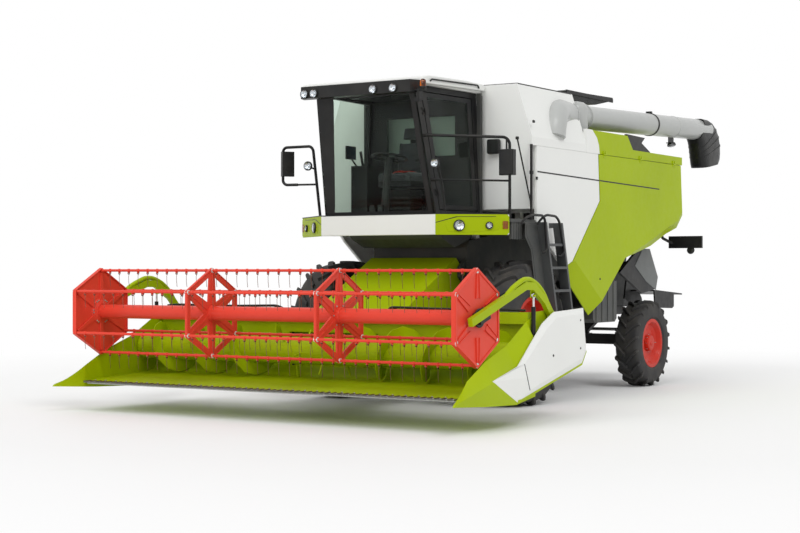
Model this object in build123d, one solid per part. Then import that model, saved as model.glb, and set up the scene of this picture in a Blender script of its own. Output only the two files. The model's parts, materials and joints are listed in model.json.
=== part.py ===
from build123d import *
import os
from math import atan2, cos, degrees, radians, sin

# A combine harvester with its grain header on, in millimetres.
# +Z is up, the machine faces -Y and its left side is +X. While it is drawn, the front axle is at Y = 0
# and the ground at Z = 0; every piece is then moved so that the origin lies under the middle of the whole.

# Clearances
SEAT_GAP = 0.3        # between pieces that rest on each other
RUN_GAP = 0.05        # radial, shaft in its bore
MOVE_GAP = 8.0        # between pieces that pass each other

# Wheels: the front ones drive, the rear ones steer
WHEELBASE = 3740
FRONT_TYRE_R = 850
FRONT_TYRE_WIDTH = 500
FRONT_BEAD_R = 405
FRONT_TRACK_HALF = 1240
FRONT_LUGS = 20
REAR_TYRE_R = 587
REAR_TYRE_WIDTH = 340
REAR_BEAD_R = 305
REAR_TRACK_HALF = 1145
REAR_LUGS = 18
LUG_HEIGHT = 42
HUB_R = 90
KINGPIN_X = 800
KINGPIN_R = 35
STEER_ARM = 200

# Body
RAIL_OUTER = 600      # chassis rails, half width
RAIL_WIDTH = 80
FRONT_BEAM_HALF = 110
RAIL_LOW = FRONT_TYRE_R + FRONT_BEAM_HALF + SEAT_GAP
RAIL_HIGH = RAIL_LOW + 130
RAIL_FRONT = -150
RAIL_REAR = WHEELBASE + 510
HOUSING_HALF = 660    # threshing housing, half width
HOUSING_TOP = 2150
BODY_HALF = 1450      # outer face of the side covers
COVER_WALL = 40
FOLD_Z = 3035         # top edge of the side covers
FOLD_TOP = FOLD_Z + 7 # lower edge of the panels above them
DECK_Z = 3150         # top of the rear hood

# Platform and cab
FLOOR_Z = 2200        # the driver's floor
PLATFORM_Z = 2170     # the landings beside the cab
FASCIA_LOW = 1984
FASCIA_HIGH = 2217
FASCIA_Y = -1110
FASCIA_HALF = 790     # of the straight middle
FASCIA_END_Y = -580
CAB_FRONT_Y = -1050
CAB_FRONT_TOP_Y = -1375.5
CAB_REAR_Y = -120
CAB_FRONT_HALF = 770
CAB_TOP_HALF = 675.5
CAB_REAR_HALF = 825
CAB_TOP_Z = 3670
CAB_POST = 60
GLASS = 8

# Grain tank and unloading auger
TANK_FRONT_Y = -30
TANK_REAR_Y = 1400
TANK_TOP_Z = 3770
TANK_TOP_HALF = BODY_HALF - 200
TANK_WALL = 30
UNLOADER_X = BODY_HALF - 260     # swing axis
SWING_Y = 1590
UNLOADER_Z = 3512     # tube axis at the elbow
UNLOADER_END_Y = 5520
UNLOADER_END_Z = 3637
UNLOADER_R = 150
SPOUT_REAR_Y = 6250

# Header, raised as it is carried on the road
FEEDER_HALF = 600
FEEDER_PIVOT_Y = -250
FEEDER_PIVOT_Z = 1560
TABLE_HALF = 2485
SHEET = 20            # side sheet of the table
SIDE_WIDTH = 105      # of the box beside the table
COVER_WIDTH = 30
SIDE_OUTER = TABLE_HALF + SIDE_WIDTH
COVER_OUTER = SIDE_OUTER + COVER_WIDTH
KNIFE_Y = -3330
KNIFE_Z = 336
TIP_Y = -3710
TIP_Z = 305
AUGER_Y = -2300
AUGER_Z = 700
AUGER_TUBE_R = 150
AUGER_SHAFT_R = 30
AUGER_FLIGHT_R = 290
AUGER_PITCH = 560
TROUGH_GAP = 15
TABLE_WALL = 16
BEAM_LOW = 1030
BEAM_HIGH = 1150

# Reel
REEL_Y = -3080
REEL_Z = 1118
REEL_R = 491
REEL_TUBE_R = 77
REEL_END_X = TABLE_HALF - 20
REEL_END_WALL = 20
BAT_COUNT = 6
BAT_R = 15
TINE_LENGTH = 180
REEL_SHAFT_R = 25
BAT_CIRCLE_R = 462    # where the bats turn
SPIDER_WALL = 20
TINE_PITCH = 140
TINES_PER_BAT = int((2 * REEL_END_X - 200) / TINE_PITCH) + 1
SPIDER_X = 6 * TINE_PITCH   # between two tines
ARM_X = (TABLE_HALF + SHEET + 6, TABLE_HALF + SHEET + 56)
ARM_DEEP = 80
ARM_PIVOT_Y = -1650
ARM_PIVOT_Z = 1110
ARM_PIN_R = 25

# Lift cylinders: (Y, Z) of their pins
LIFT_X = 350
LIFT_BASE = (-185, 680)
LIFT_TOP = (-1450, 520)
LIFT_PIN = 22
LIFT_EYE_GAP = 12     # the rod's eye is the opened pivot
REEL_LIFT_X = (ARM_X[0] + ARM_X[1]) / 2
REEL_LIFT_Y = -2040
REEL_LIFT_BASE = 880
REEL_LIFT_TOP = 1322
REEL_LIFT_PIN = 10
REEL_LIFT_EYE_GAP = 8

pieces = {}


def span_box(x, y, z):
    """A box between the low and high values on each axis."""
    middle = [(low + high) / 2 for low, high in (x, y, z)]
    return Pos(*middle) * Box(x[1] - x[0], y[1] - y[0], z[1] - z[0])


def slab_x(outline, low, high):
    """A plate between two X values, with an outline of (Y, Z) points."""
    face = make_face(Polyline(*[(low, y, z) for y, z in outline], close=True))
    return extrude(face, amount=high - low, dir=(1, 0, 0))


def slab_y(outline, low, high):
    """A plate between two Y values, with an outline of (X, Z) points."""
    face = make_face(Polyline(*[(x, low, z) for x, z in outline], close=True))
    return extrude(face, amount=high - low, dir=(0, 1, 0))


def slab_z(outline, low, high):
    """A plate between two Z values, with an outline of (X, Y) points."""
    face = make_face(Polyline(*[(x, y, low) for x, y in outline], close=True))
    return extrude(face, amount=high - low, dir=(0, 0, 1))


def rod(start, end, radius):
    """A round bar from one point to another."""
    line = Vector(*end) - Vector(*start)
    bar = Cylinder(radius, line.length, align=(Align.CENTER, Align.CENTER, Align.MIN))
    return Plane(origin=start, z_dir=line) * bar


def disc_x(y, z, radius, low, high):
    """A round bar along X at one (Y, Z)."""
    return rod((low, y, z), (high, y, z), radius)


def bent_tube(points, radius, bend):
    """A tube along straight runs joined by arcs."""
    path = FilletPolyline(*points, radius=bend)
    return sweep(Plane(origin=path @ 0, z_dir=path % 0) * Circle(radius), path=path)


def bent_bar_x(points, x, deep, bend):
    """A flat bar between two X values, bent in the (Y, Z) plane."""
    middle = (x[0] + x[1]) / 2
    path = FilletPolyline(*[(middle, y, z) for y, z in points], radius=bend)
    start = Plane(origin=path @ 0, x_dir=(1, 0, 0), z_dir=path % 0)
    return sweep(start * Rectangle(x[1] - x[0], deep), path=path)


def mirrored(shape):
    return mirror(shape, about=Plane.YZ)


def both_sides(shape):
    return shape + mirrored(shape)


# Wheels, drawn with their axle along X at the origin and their outer side at +X

def tyre(radius, width, bead, lugs):
    """Flat faces all round. A lug takes every second step of angle, the far side's lugs the steps between."""
    half = width / 2
    crown = radius - LUG_HEIGHT
    wall = crown - bead
    steps = 2 * lugs
    step = 360 / steps
    to_corner = 1 / cos(radians(step / 2))
    # X, radius between the lugs, radius on them, and how far they lag behind the middle
    tread = [
        (0.03 * half, crown, radius * to_corner, 0),
        (0.50 * half, crown - 1, radius - 1, 0.60 * half),
        (0.94 * half, crown - 14, radius - 14, 0.90 * half),
    ]
    shoulder = tread[-1]
    side = [shoulder[:2], (half, bead + 0.5 * wall), (0.80 * half, bead + 30),
            (0.80 * half, bead * to_corner)]
    faces = []

    def corner(x, r, lag, index):
        turn = radians(step * (index + 0.5)) - lag / radius
        return Vector(x, -r * sin(turn), r * cos(turn))

    def flat(*corners):
        faces.append(make_face(Polyline(*corners, close=True)))

    def bent(a, b, c, d):
        flat(a, b, c)
        flat(a, c, d)

    for k in range(steps):
        # the band along the middle of the tread, and the one on the rim
        for x, r, lag in ((tread[0][0], crown, 0), (*side[-1], shoulder[3])):
            flat(corner(-x, r, lag, k), corner(-x, r, lag, k + 1),
                 corner(x, r, lag, k + 1), corner(x, r, lag, k))
        for hand in (1, -1):
            is_lug = k % 2 == (hand + 1) // 2
            for (x1, low1, high1, lag1), (x2, low2, high2, lag2) in zip(tread, tread[1:]):
                x1, x2 = hand * x1, hand * x2
                r1, r2 = (high1, high2) if is_lug else (low1, low2)
                bent(corner(x1, r1, lag1, k), corner(x1, r1, lag1, k + 1),
                     corner(x2, r2, lag2, k + 1), corner(x2, r2, lag2, k))
                if is_lug:
                    for edge in (k, k + 1):
                        bent(corner(x1, low1, lag1, edge), corner(x1, high1, lag1, edge),
                             corner(x2, high2, lag2, edge), corner(x2, low2, lag2, edge))
            if is_lug:
                for x, low, high, lag in (tread[0], shoulder):
                    flat(corner(hand * x, low, lag, k), corner(hand * x, high, lag, k),
                         corner(hand * x, high, lag, k + 1), corner(hand * x, low, lag, k + 1))
            for (x1, r1), (x2, r2) in zip(side, side[1:]):
                flat(corner(hand * x1, r1, shoulder[3], k), corner(hand * x1, r1, shoulder[3], k + 1),
                     corner(hand * x2, r2, shoulder[3], k + 1), corner(hand * x2, r2, shoulder[3], k))
    return Solid(Shell(faces))


def rim(width, bead, disc_offset):
    """The barrel, its two flanges and the dished disc, with a bore for the hub."""
    half = width / 2
    seat = bead - SEAT_GAP
    flange = bead + 26
    barrel = [
        (-0.80 * half - 14, flange), (-0.80 * half - SEAT_GAP, flange), (-0.80 * half - SEAT_GAP, seat),
        (0.80 * half + SEAT_GAP, seat), (0.80 * half + SEAT_GAP, flange), (0.80 * half + 14, flange),
        (0.80 * half + 14, seat - 16), (disc_offset + 30, seat - 60), (disc_offset + 12, 0.62 * bead),
        (disc_offset + 12, HUB_R + RUN_GAP), (disc_offset - 12, HUB_R + RUN_GAP),
        (disc_offset - 12, 0.62 * bead), (disc_offset - 2, seat - 64), (disc_offset - 40, seat - 16),
        (-0.80 * half - 14, seat - 16),
    ]
    return revolve(make_face(Polyline(*[(x, r, 0) for x, r in barrel], close=True)), Axis.X)


FRONT_DISC = 60
REAR_DISC = 70
front_tyre = tyre(FRONT_TYRE_R, FRONT_TYRE_WIDTH, FRONT_BEAD_R, FRONT_LUGS)
rear_tyre = tyre(REAR_TYRE_R, REAR_TYRE_WIDTH, REAR_BEAD_R, REAR_LUGS)
front_rim = rim(FRONT_TYRE_WIDTH, FRONT_BEAD_R, FRONT_DISC)
rear_rim = rim(REAR_TYRE_WIDTH, REAR_BEAD_R, REAR_DISC)
# name, tyre, rim, half track, Y, axle height
wheels = [
    ("front", front_tyre, front_rim, FRONT_TRACK_HALF, 0, FRONT_TYRE_R),
    ("rear", rear_tyre, rear_rim, REAR_TRACK_HALF, WHEELBASE, REAR_TYRE_R),
]
for name, tyre_shape, rim_shape, track, y, z in wheels:
    for kind, shape in (("tyre", tyre_shape), ("rim", rim_shape)):
        left = Pos(track, y, z) * shape
        pieces[f"{kind}_{name}_left"] = left
        pieces[f"{kind}_{name}_right"] = mirrored(left)

# Front axle: beam, final drive housings, hub flanges and spigots
FINAL_DRIVE = (760, 950)
disc_inner = FRONT_TRACK_HALF + FRONT_DISC - 12 - SEAT_GAP
half_axle = (
    span_box((0, FINAL_DRIVE[0]), (-FRONT_BEAM_HALF, FRONT_BEAM_HALF),
             (FRONT_TYRE_R - FRONT_BEAM_HALF, FRONT_TYRE_R + FRONT_BEAM_HALF))
    + slab_x([(-150, 700), (150, 700), (190, 850), (150, 1180), (-150, 1180), (-190, 850)], *FINAL_DRIVE)
    + disc_x(0, FRONT_TYRE_R, 130, FINAL_DRIVE[1], disc_inner - 20)
    + disc_x(0, FRONT_TYRE_R, 190, disc_inner - 20, disc_inner)
    + disc_x(0, FRONT_TYRE_R, HUB_R, disc_inner, disc_inner + 70)
)
for x in (LIFT_X - 50, LIFT_X + 34):
    half_axle += slab_x([(-100, 860), (-225, 700), (-215, 645), (-160, 640), (-100, 745)], x, x + 16)
half_axle += disc_x(*LIFT_BASE, LIFT_PIN, LIFT_X - 50, LIFT_X + 50)
pieces["front_axle"] = both_sides(half_axle)

# Chassis frame: two rails, cross members, brackets down to the axles and the rear hitch
HITCH_Y = RAIL_REAR + 80
HITCH_Z = 700
HITCH_HOLE_R = 16.5
RAIL_INNER = RAIL_OUTER - RAIL_WIDTH
MEMBER = 80
MIDDLE_MEMBERS = (0.40 * WHEELBASE, 0.72 * WHEELBASE)
frame = both_sides(span_box((RAIL_INNER, RAIL_OUTER), (RAIL_FRONT, RAIL_REAR), (RAIL_LOW, RAIL_HIGH)))
for y in (RAIL_FRONT, *MIDDLE_MEMBERS, RAIL_REAR - MEMBER):
    frame += span_box((-RAIL_INNER, RAIL_INNER), (y, y + MEMBER), (RAIL_LOW, RAIL_HIGH))
hitch = slab_x([
    (RAIL_REAR - 60, RAIL_LOW), (RAIL_REAR, RAIL_LOW), (HITCH_Y, HITCH_Z + 60), (HITCH_Y, HITCH_Z - 60),
    (RAIL_REAR - 60, HITCH_Z - 60),
], -60, 60)
for low, high in ((HITCH_Z + 20, HITCH_Z + 45), (HITCH_Z - 45, HITCH_Z - 20)):
    hitch += span_box((-60, 60), (HITCH_Y, HITCH_Y + 90), (low, high))
hitch -= Pos(0, HITCH_Y + 50, HITCH_Z) * Cylinder(HITCH_HOLE_R, 200)
frame += hitch
pieces["chassis_frame"] = frame

# Rear axle beam, hung under the rails, with an eye for each kingpin
BEAM_Z = (560, 700)
eye = Pos(KINGPIN_X, WHEELBASE, 0) * (
    Pos(0, 0, (BEAM_Z[0] + BEAM_Z[1]) / 2) * Cylinder(70, BEAM_Z[1] - BEAM_Z[0])
)
beam = both_sides(eye) + span_box((-KINGPIN_X, KINGPIN_X), (WHEELBASE - 65, WHEELBASE + 65), BEAM_Z)
beam -= both_sides(Pos(KINGPIN_X, WHEELBASE, 630) * Cylinder(KINGPIN_R + RUN_GAP, 200))
beam += slab_y([(-300, BEAM_Z[1]), (300, BEAM_Z[1]), (560, RAIL_LOW - SEAT_GAP), (-560, RAIL_LOW - SEAT_GAP)],
               WHEELBASE - 50, WHEELBASE + 50)
pieces["rear_axle_beam"] = beam

# Steering knuckles: fork, kingpin, spindle, hub flange and steering arm
rear_disc_inner = REAR_TRACK_HALF + REAR_DISC - 12 - SEAT_GAP
FORK = 25
upper = (BEAM_Z[1] + 1, BEAM_Z[1] + 1 + FORK)
lower = (BEAM_Z[0] - 1 - FORK, BEAM_Z[0] - 1)
knuckle = rod((KINGPIN_X, WHEELBASE, lower[0]), (KINGPIN_X, WHEELBASE, upper[1]), KINGPIN_R)
for low, high in (upper, lower):
    knuckle += Pos(KINGPIN_X, WHEELBASE, (low + high) / 2) * Cylinder(60, high - low)
    knuckle += span_box((KINGPIN_X, KINGPIN_X + 110), (WHEELBASE - 60, WHEELBASE + 60), (low, high))
knuckle += span_box((KINGPIN_X + 78, KINGPIN_X + 110), (WHEELBASE - 60, WHEELBASE + 60), (lower[0], upper[1]))
knuckle += disc_x(WHEELBASE, REAR_TYRE_R, 50, KINGPIN_X + 110, rear_disc_inner - 18)
knuckle += disc_x(WHEELBASE, REAR_TYRE_R, 140, rear_disc_inner - 18, rear_disc_inner)
knuckle += disc_x(WHEELBASE, REAR_TYRE_R, HUB_R, rear_disc_inner, rear_disc_inner + 60)
arm = slab_z([
    (KINGPIN_X - 40, WHEELBASE), (KINGPIN_X + 60, WHEELBASE), (KINGPIN_X + 35, WHEELBASE + STEER_ARM),
    (KINGPIN_X - 35, WHEELBASE + STEER_ARM),
], *upper)
arm += Pos(KINGPIN_X, WHEELBASE + STEER_ARM, (upper[0] + upper[1]) / 2) * Cylinder(35, FORK)
TIE_PIN_R = 14
TIE_ROD_R = 22
arm += Pos(KINGPIN_X, WHEELBASE + STEER_ARM, upper[1] + 30) * Cylinder(TIE_PIN_R, 60)
knuckle += arm
pieces["knuckle_left"] = knuckle
pieces["knuckle_right"] = mirrored(knuckle)

# Tie rod between the steering arms, carried on their pins
TIE_Z = upper[1] + 32
tie = rod((-KINGPIN_X, WHEELBASE + STEER_ARM, TIE_Z), (KINGPIN_X, WHEELBASE + STEER_ARM, TIE_Z), TIE_ROD_R)
for x in (-KINGPIN_X, KINGPIN_X):
    tie += Pos(x, WHEELBASE + STEER_ARM, TIE_Z) * Cylinder(34, 46)
for x in (-KINGPIN_X, KINGPIN_X):
    tie -= Pos(x, WHEELBASE + STEER_ARM, TIE_Z) * Cylinder(TIE_PIN_R + RUN_GAP, 100)
pieces["tie_rod"] = tie

# Threshing housing with the straw walker hood behind it, closed all round
HOUSING_FRONT = -180
HOUSING_REAR = WHEELBASE + 410
WALKER_TOP = 2500     # top over the straw walkers
ROOF_FRONT = (HOUSING_FRONT + 60, 1930)
ROOF_REAR = (1450, HOUSING_TOP)
housing = slab_x([
    (HOUSING_FRONT, RAIL_HIGH + SEAT_GAP), (HOUSING_REAR, RAIL_HIGH + SEAT_GAP), (HOUSING_REAR + 100, 1500),
    (HOUSING_REAR + 180, HOUSING_TOP), (HOUSING_REAR - 250, WALKER_TOP), (1500, WALKER_TOP), ROOF_REAR,
    ROOF_FRONT, (HOUSING_FRONT, 1850),
], -HOUSING_HALF, HOUSING_HALF)
BELLY_FRONT, BELLY_REAR = 200, WHEELBASE - 440
belly_half = RAIL_INNER - 1
housing += span_box((-belly_half, belly_half), (BELLY_FRONT, BELLY_REAR), (RAIL_LOW - 90, RAIL_HIGH + 20))
for y in MIDDLE_MEMBERS:
    slot = (y - 1, y + MEMBER + 1)
    housing -= span_box((-RAIL_OUTER, RAIL_OUTER), slot, (RAIL_LOW - 100, RAIL_HIGH + RUN_GAP))
# ears that carry the feeder house's shaft
EAR_X = (FEEDER_HALF + 12, FEEDER_HALF + 47)
FEEDER_SHAFT_R = 40
ear = slab_x([
    (HOUSING_FRONT, 1400), (HOUSING_FRONT, 1720), (FEEDER_PIVOT_Y - 70, 1620), (FEEDER_PIVOT_Y - 70, 1500),
], *EAR_X)
ear -= disc_x(FEEDER_PIVOT_Y, FEEDER_PIVOT_Z, FEEDER_SHAFT_R + RUN_GAP, EAR_X[0] - 5, EAR_X[1] + 5)
housing += both_sides(ear)
pieces["threshing_housing"] = housing

# Straw chopper behind the housing, on the ends of the rails
CHOPPER_FRONT = RAIL_REAR + 10
chopper_side = [(0, 1180), (80, 1470), (340, 1420), (590, 1180), (610, 1090), (340, 1060)]
chopper = slab_x([(CHOPPER_FRONT + y, z) for y, z in chopper_side], 20 - HOUSING_HALF, HOUSING_HALF - 20)
foot_y = (RAIL_REAR + SEAT_GAP, CHOPPER_FRONT + 40)
chopper += both_sides(span_box((RAIL_INNER + 10, RAIL_OUTER), foot_y, (RAIL_LOW, 1220)))
# tailboard with a cheek on each side that spread the straw
TAIL_HALF = 1000
TAIL_FRONT, TAIL_REAR = RAIL_REAR + 230, RAIL_REAR + 1220
tailboard = slab_x([
    (TAIL_FRONT, 1285), (TAIL_FRONT, 1305), (TAIL_REAR, 1242), (TAIL_REAR, 1222),
], -TAIL_HALF, TAIL_HALF)
cheek = [
    (TAIL_FRONT, 1290), (TAIL_FRONT + 30, 1050), (TAIL_REAR - 360, 1032), (TAIL_REAR - 300, 1060),
    (TAIL_REAR - 300, 1250),
]
tailboard += both_sides(slab_x(cheek, TAIL_HALF - 20, TAIL_HALF))
pieces["straw_chopper"] = chopper + tailboard

# Engine, one plain block on the housing behind the grain tank
pieces["engine_block"] = span_box((-520, 460), (1750, 3000), (WALKER_TOP + SEAT_GAP, 3060))

# Fuel tanks beside the housing, behind the front wheels
fuel_tank = span_box((HOUSING_HALF + SEAT_GAP, BODY_HALF - 250), (1950, 2810), (RAIL_HIGH + 10, 1450))
pieces["fuel_tank"] = both_sides(fuel_tank)

# Grain tank: a hopper with sides drawn in at the top, open above, with its filling auger
SHOULDER_Z = 3140
inner_half = BODY_HALF - COVER_WALL - MOVE_GAP
TANK_LOW = 2300
outer = [(-inner_half, TANK_LOW), (inner_half, TANK_LOW), (inner_half, FOLD_TOP), (BODY_HALF, FOLD_TOP),
         (BODY_HALF, SHOULDER_Z), (TANK_TOP_HALF, TANK_TOP_Z), (-TANK_TOP_HALF, TANK_TOP_Z),
         (-BODY_HALF, SHOULDER_Z), (-BODY_HALF, FOLD_TOP), (-inner_half, FOLD_TOP)]
hollow_half = inner_half - TANK_WALL
hollow = [(-500, 2600), (500, 2600), (hollow_half, 2950), (hollow_half, SHOULDER_Z),
          (TANK_TOP_HALF - TANK_WALL, TANK_TOP_Z + 10), (-TANK_TOP_HALF + TANK_WALL, TANK_TOP_Z + 10),
          (-hollow_half, SHOULDER_Z), (-hollow_half, 2950)]
tank = slab_y(outer, TANK_FRONT_Y, TANK_REAR_Y)
corner_x = (-inner_half - 1, inner_half + 1)
tank -= span_box(corner_x, (TANK_REAR_Y - 100, TANK_REAR_Y), (TANK_LOW - 10, WALKER_TOP + 1))
tank -= slab_y(hollow, TANK_FRONT_Y + TANK_WALL, TANK_REAR_Y - TANK_WALL)
FILLER_R = 125
tank += rod((60 - hollow_half, 700, 2900), (1222 - hollow_half, 700, 3560), FILLER_R)
FOOT = 80
roof_rise = (ROOF_REAR[1] - ROOF_FRONT[1]) / (ROOF_REAR[0] - ROOF_FRONT[0])
for y in (66, 1180):
    low_z = ROOF_FRONT[1] + (y - ROOF_FRONT[0]) * roof_rise + 1.1 * SEAT_GAP
    foot = [(y, low_z), (y + FOOT, low_z + FOOT * roof_rise), (y + FOOT, TANK_LOW + 10), (y, TANK_LOW + 10)]
    tank += both_sides(slab_x(foot, HOUSING_HALF - 20 - FOOT, HOUSING_HALF - 20))
pieces["grain_tank"] = tank

# Rear hood: top deck, side strips above the covers, rear wall and bulkhead
HOOD_FRONT = TANK_REAR_Y + SEAT_GAP
HOOD_REAR = RAIL_REAR + 150
strip = slab_x([
    (HOOD_FRONT, FOLD_TOP), (HOOD_REAR, FOLD_TOP), (HOOD_REAR, DECK_Z), (2770, DECK_Z + 5), (2600, 3330),
    (HOOD_FRONT, 3330),
], BODY_HALF - COVER_WALL, BODY_HALF)
hood = both_sides(strip)
hood += span_box((-BODY_HALF, BODY_HALF), (HOOD_FRONT, HOOD_REAR), (DECK_Z - 40, DECK_Z))
hood += slab_x([
    (HOOD_REAR - 40, DECK_Z - 40), (HOOD_REAR, DECK_Z - 40), (HOOD_REAR + 90, 2450), (HOOD_REAR - 60, 2190),
    (HOOD_REAR - 100, 2210), (HOOD_REAR + 48, 2455),
], -inner_half, inner_half)
hood_post_z = (WALKER_TOP + SEAT_GAP, DECK_Z - 40)
hood += both_sides(span_box((700, 760), (HOOD_REAR - 700, HOOD_REAR - 640), hood_post_z))
pieces["rear_hood"] = hood

# Cooling air screen standing over the hood
SCREEN_TOP = 3970
screen = slab_x([
    (2290, 3942), (3750, SCREEN_TOP), (3750, 3926), (3217, 3828), (2500, 3796), (2320, 3853),
], -300, 700)
for y, top_z in ((2700, 3830), (3400, 3890)):
    screen += both_sides(span_box((200, 260), (y, y + 60), (DECK_Z + SEAT_GAP, top_z)))
pieces["cooling_screen"] = screen

# Side covers, hinged along the fold: white front panel and lime rear panel on each side.
# The outline follows the cover's edge; the split runs from the fold down to the low tip.
split = [(1740, FOLD_Z), (1780, 2450), (1020, 1690), (790, 1610)]
SEAM = 7
front_panel = [(90, FOLD_TOP - SEAT_GAP), (90, 2150), (290, 1950)]
front_panel += [(y - SEAM, z) for y, z in split[:0:-1]] + [(split[0][0] - SEAM, FOLD_TOP - SEAT_GAP)]
rear_panel = split + [
    (1610, 1020), (2520, 1740), (WHEELBASE - 270, 1910), (HOOD_REAR - 420, 2080), (HOOD_REAR - 70, 2170),
    (HOOD_REAR + 95, 2350), (HOOD_REAR + 10, FOLD_Z),
]
low, high = BODY_HALF - COVER_WALL, BODY_HALF
pieces["cover_front_left"] = slab_x(front_panel, low, high)
rear_cover = slab_x(rear_panel, low, high)
HINGE_X = BODY_HALF + 15
HINGE_Z = (FOLD_Z + FOLD_TOP) / 2
HINGE_PIN_R, HINGE_R = 5, 9
for y in (1900, 3000, HOOD_REAR - 300):
    rear_cover += span_box((BODY_HALF, HINGE_X - 2), (y - 12, y + 12), (FOLD_Z - 45, FOLD_Z + 1))
    rear_cover += rod((HINGE_X, y - 12, HINGE_Z), (HINGE_X, y + 12, HINGE_Z), HINGE_R)
    rear_cover -= rod((HINGE_X, y - 20, HINGE_Z), (HINGE_X, y + 20, HINGE_Z), HINGE_PIN_R + RUN_GAP)
    strip_hinge = rod((HINGE_X, y - 40, HINGE_Z), (HINGE_X, y + 40, HINGE_Z), HINGE_PIN_R)
    for side in (-40, 14):
        strip_hinge += rod((HINGE_X, y + side, HINGE_Z), (HINGE_X, y + side + 26, HINGE_Z), HINGE_R)
        leaf_y = (y + side, y + side + 26)
        strip_hinge += span_box((BODY_HALF, HINGE_X - 2), leaf_y, (FOLD_TOP - 1, FOLD_TOP + 45))
    pieces["rear_hood"] += both_sides(strip_hinge)
pieces["cover_rear_left"] = rear_cover
for name in ("cover_front", "cover_rear"):
    pieces[f"{name}_right"] = mirrored(pieces[f"{name}_left"])

# Auger turret on the tank's rear corner and the unloading auger that swings on it
TURRET_R = 175
SWING_PIN_R = 60
turret_top = UNLOADER_Z - UNLOADER_R - 30


def on_swing(low_z, high_z, radius):
    return rod((UNLOADER_X, SWING_Y, low_z), (UNLOADER_X, SWING_Y, high_z), radius)


turret = on_swing(DECK_Z + SEAT_GAP, turret_top - SEAT_GAP, TURRET_R)
turret += on_swing(turret_top - 10, turret_top + 60, SWING_PIN_R)
pieces["auger_turret"] = turret

unloader = on_swing(turret_top + SEAT_GAP, UNLOADER_Z + UNLOADER_R + 40, TURRET_R)
unloader += rod((UNLOADER_X, SWING_Y, UNLOADER_Z), (UNLOADER_X, UNLOADER_END_Y, UNLOADER_END_Z), UNLOADER_R)
unloader -= on_swing(turret_top - 20, turret_top + 64, SWING_PIN_R + RUN_GAP)
# a flat spout round the tube's end, open below
SPOUT_HALF = 165
SPOUT_WALL = 20
spout = slab_x([
    (UNLOADER_END_Y - 282, 3493), (UNLOADER_END_Y - 280, 3790), (UNLOADER_END_Y + 190, 3800),
    (SPOUT_REAR_Y - 250, 3740), (SPOUT_REAR_Y - 70, 3600), (SPOUT_REAR_Y, 3400), (SPOUT_REAR_Y - 15, 3262),
    (SPOUT_REAR_Y - 173, 3104), (SPOUT_REAR_Y - 445, 3045), (UNLOADER_END_Y + 55, 3077),
    (UNLOADER_END_Y - 20, 3263), (UNLOADER_END_Y - 95, 3462),
], UNLOADER_X - SPOUT_HALF, UNLOADER_X + SPOUT_HALF)
spout -= slab_x([
    (UNLOADER_END_Y + 120, 3400), (SPOUT_REAR_Y - 210, 3430), (SPOUT_REAR_Y - 55, 3300),
    (SPOUT_REAR_Y - 60, 3270), (SPOUT_REAR_Y - 190, 3130), (SPOUT_REAR_Y - 210, 2900),
    (UNLOADER_END_Y + 80, 2900),
], UNLOADER_X - SPOUT_HALF + SPOUT_WALL, UNLOADER_X + SPOUT_HALF - SPOUT_WALL)
unloader += spout
pieces["unloading_auger"] = unloader

# Platform deck with the dark structure under it, on the housing
fascia_inner = [(FASCIA_HALF - 15, FASCIA_Y + 35), (BODY_HALF - 30, FASCIA_END_Y + 30)]
deck_right = [(-x, y + 1.5 * SEAT_GAP) for x, y in reversed(fascia_inner)]
deck_left = [(x, y + 1.5 * SEAT_GAP) for x, y in fascia_inner]
deck = slab_z([
    (-BODY_HALF, 60), (-BODY_HALF, FASCIA_END_Y + 40), *deck_right,
    *deck_left, (BODY_HALF, FASCIA_END_Y + 40), (BODY_HALF, 60),
], PLATFORM_Z - 40, PLATFORM_Z)
deck += slab_x([
    (ROOF_FRONT[0] + 4, ROOF_FRONT[1] + 4 + SEAT_GAP), (-20, 1980), (-20, PLATFORM_Z - 40),
    (-900, PLATFORM_Z - 40), (-700, 1950), (-430, 1850),
], 20 - HOUSING_HALF, HOUSING_HALF - 20)
deck += both_sides(span_box((HOUSING_HALF + 40, BODY_HALF - 50), (-560, 20), (2010, PLATFORM_Z - 40)))
pieces["platform_deck"] = deck

# Platform fascia: centre panel and the two ends swept back
fascia = slab_z([
    (-FASCIA_HALF, FASCIA_Y), (0, FASCIA_Y - 35), (FASCIA_HALF, FASCIA_Y), (BODY_HALF, FASCIA_END_Y),
    fascia_inner[1], fascia_inner[0], (-fascia_inner[0][0], fascia_inner[0][1]),
    (-fascia_inner[1][0], fascia_inner[1][1]), (-BODY_HALF, FASCIA_END_Y),
], FASCIA_LOW, FASCIA_HIGH)
pieces["platform_fascia"] = fascia

# Cab frame: floor, front posts, rear posts, head rails and rear wall
A = Vector(CAB_FRONT_HALF, CAB_FRONT_Y, FLOOR_Z)
B = Vector(CAB_TOP_HALF, CAB_FRONT_TOP_Y, CAB_TOP_Z)
C = Vector(CAB_REAR_HALF, CAB_REAR_Y, FLOOR_Z)
side_normal = (C - A).cross(B - A).normalized()
D = Vector(CAB_REAR_HALF, CAB_REAR_Y, CAB_TOP_Z)
D.X = A.X - (side_normal.Y * (D.Y - A.Y) + side_normal.Z * (D.Z - A.Z)) / side_normal.X
P = CAB_POST


def side_plate(points, out_low, out_high):
    """A plate in the cab's side plane, with points of (share of the way back, share of the height)."""
    corners = []
    for back, up in points:
        front = A + (B - A) * up
        rear = C + (D - C) * up
        corners.append(front + (rear - front) * back + side_normal * out_low)
    face = make_face(Polyline(*corners, close=True))
    return extrude(face, amount=out_high - out_low, dir=side_normal)


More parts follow.
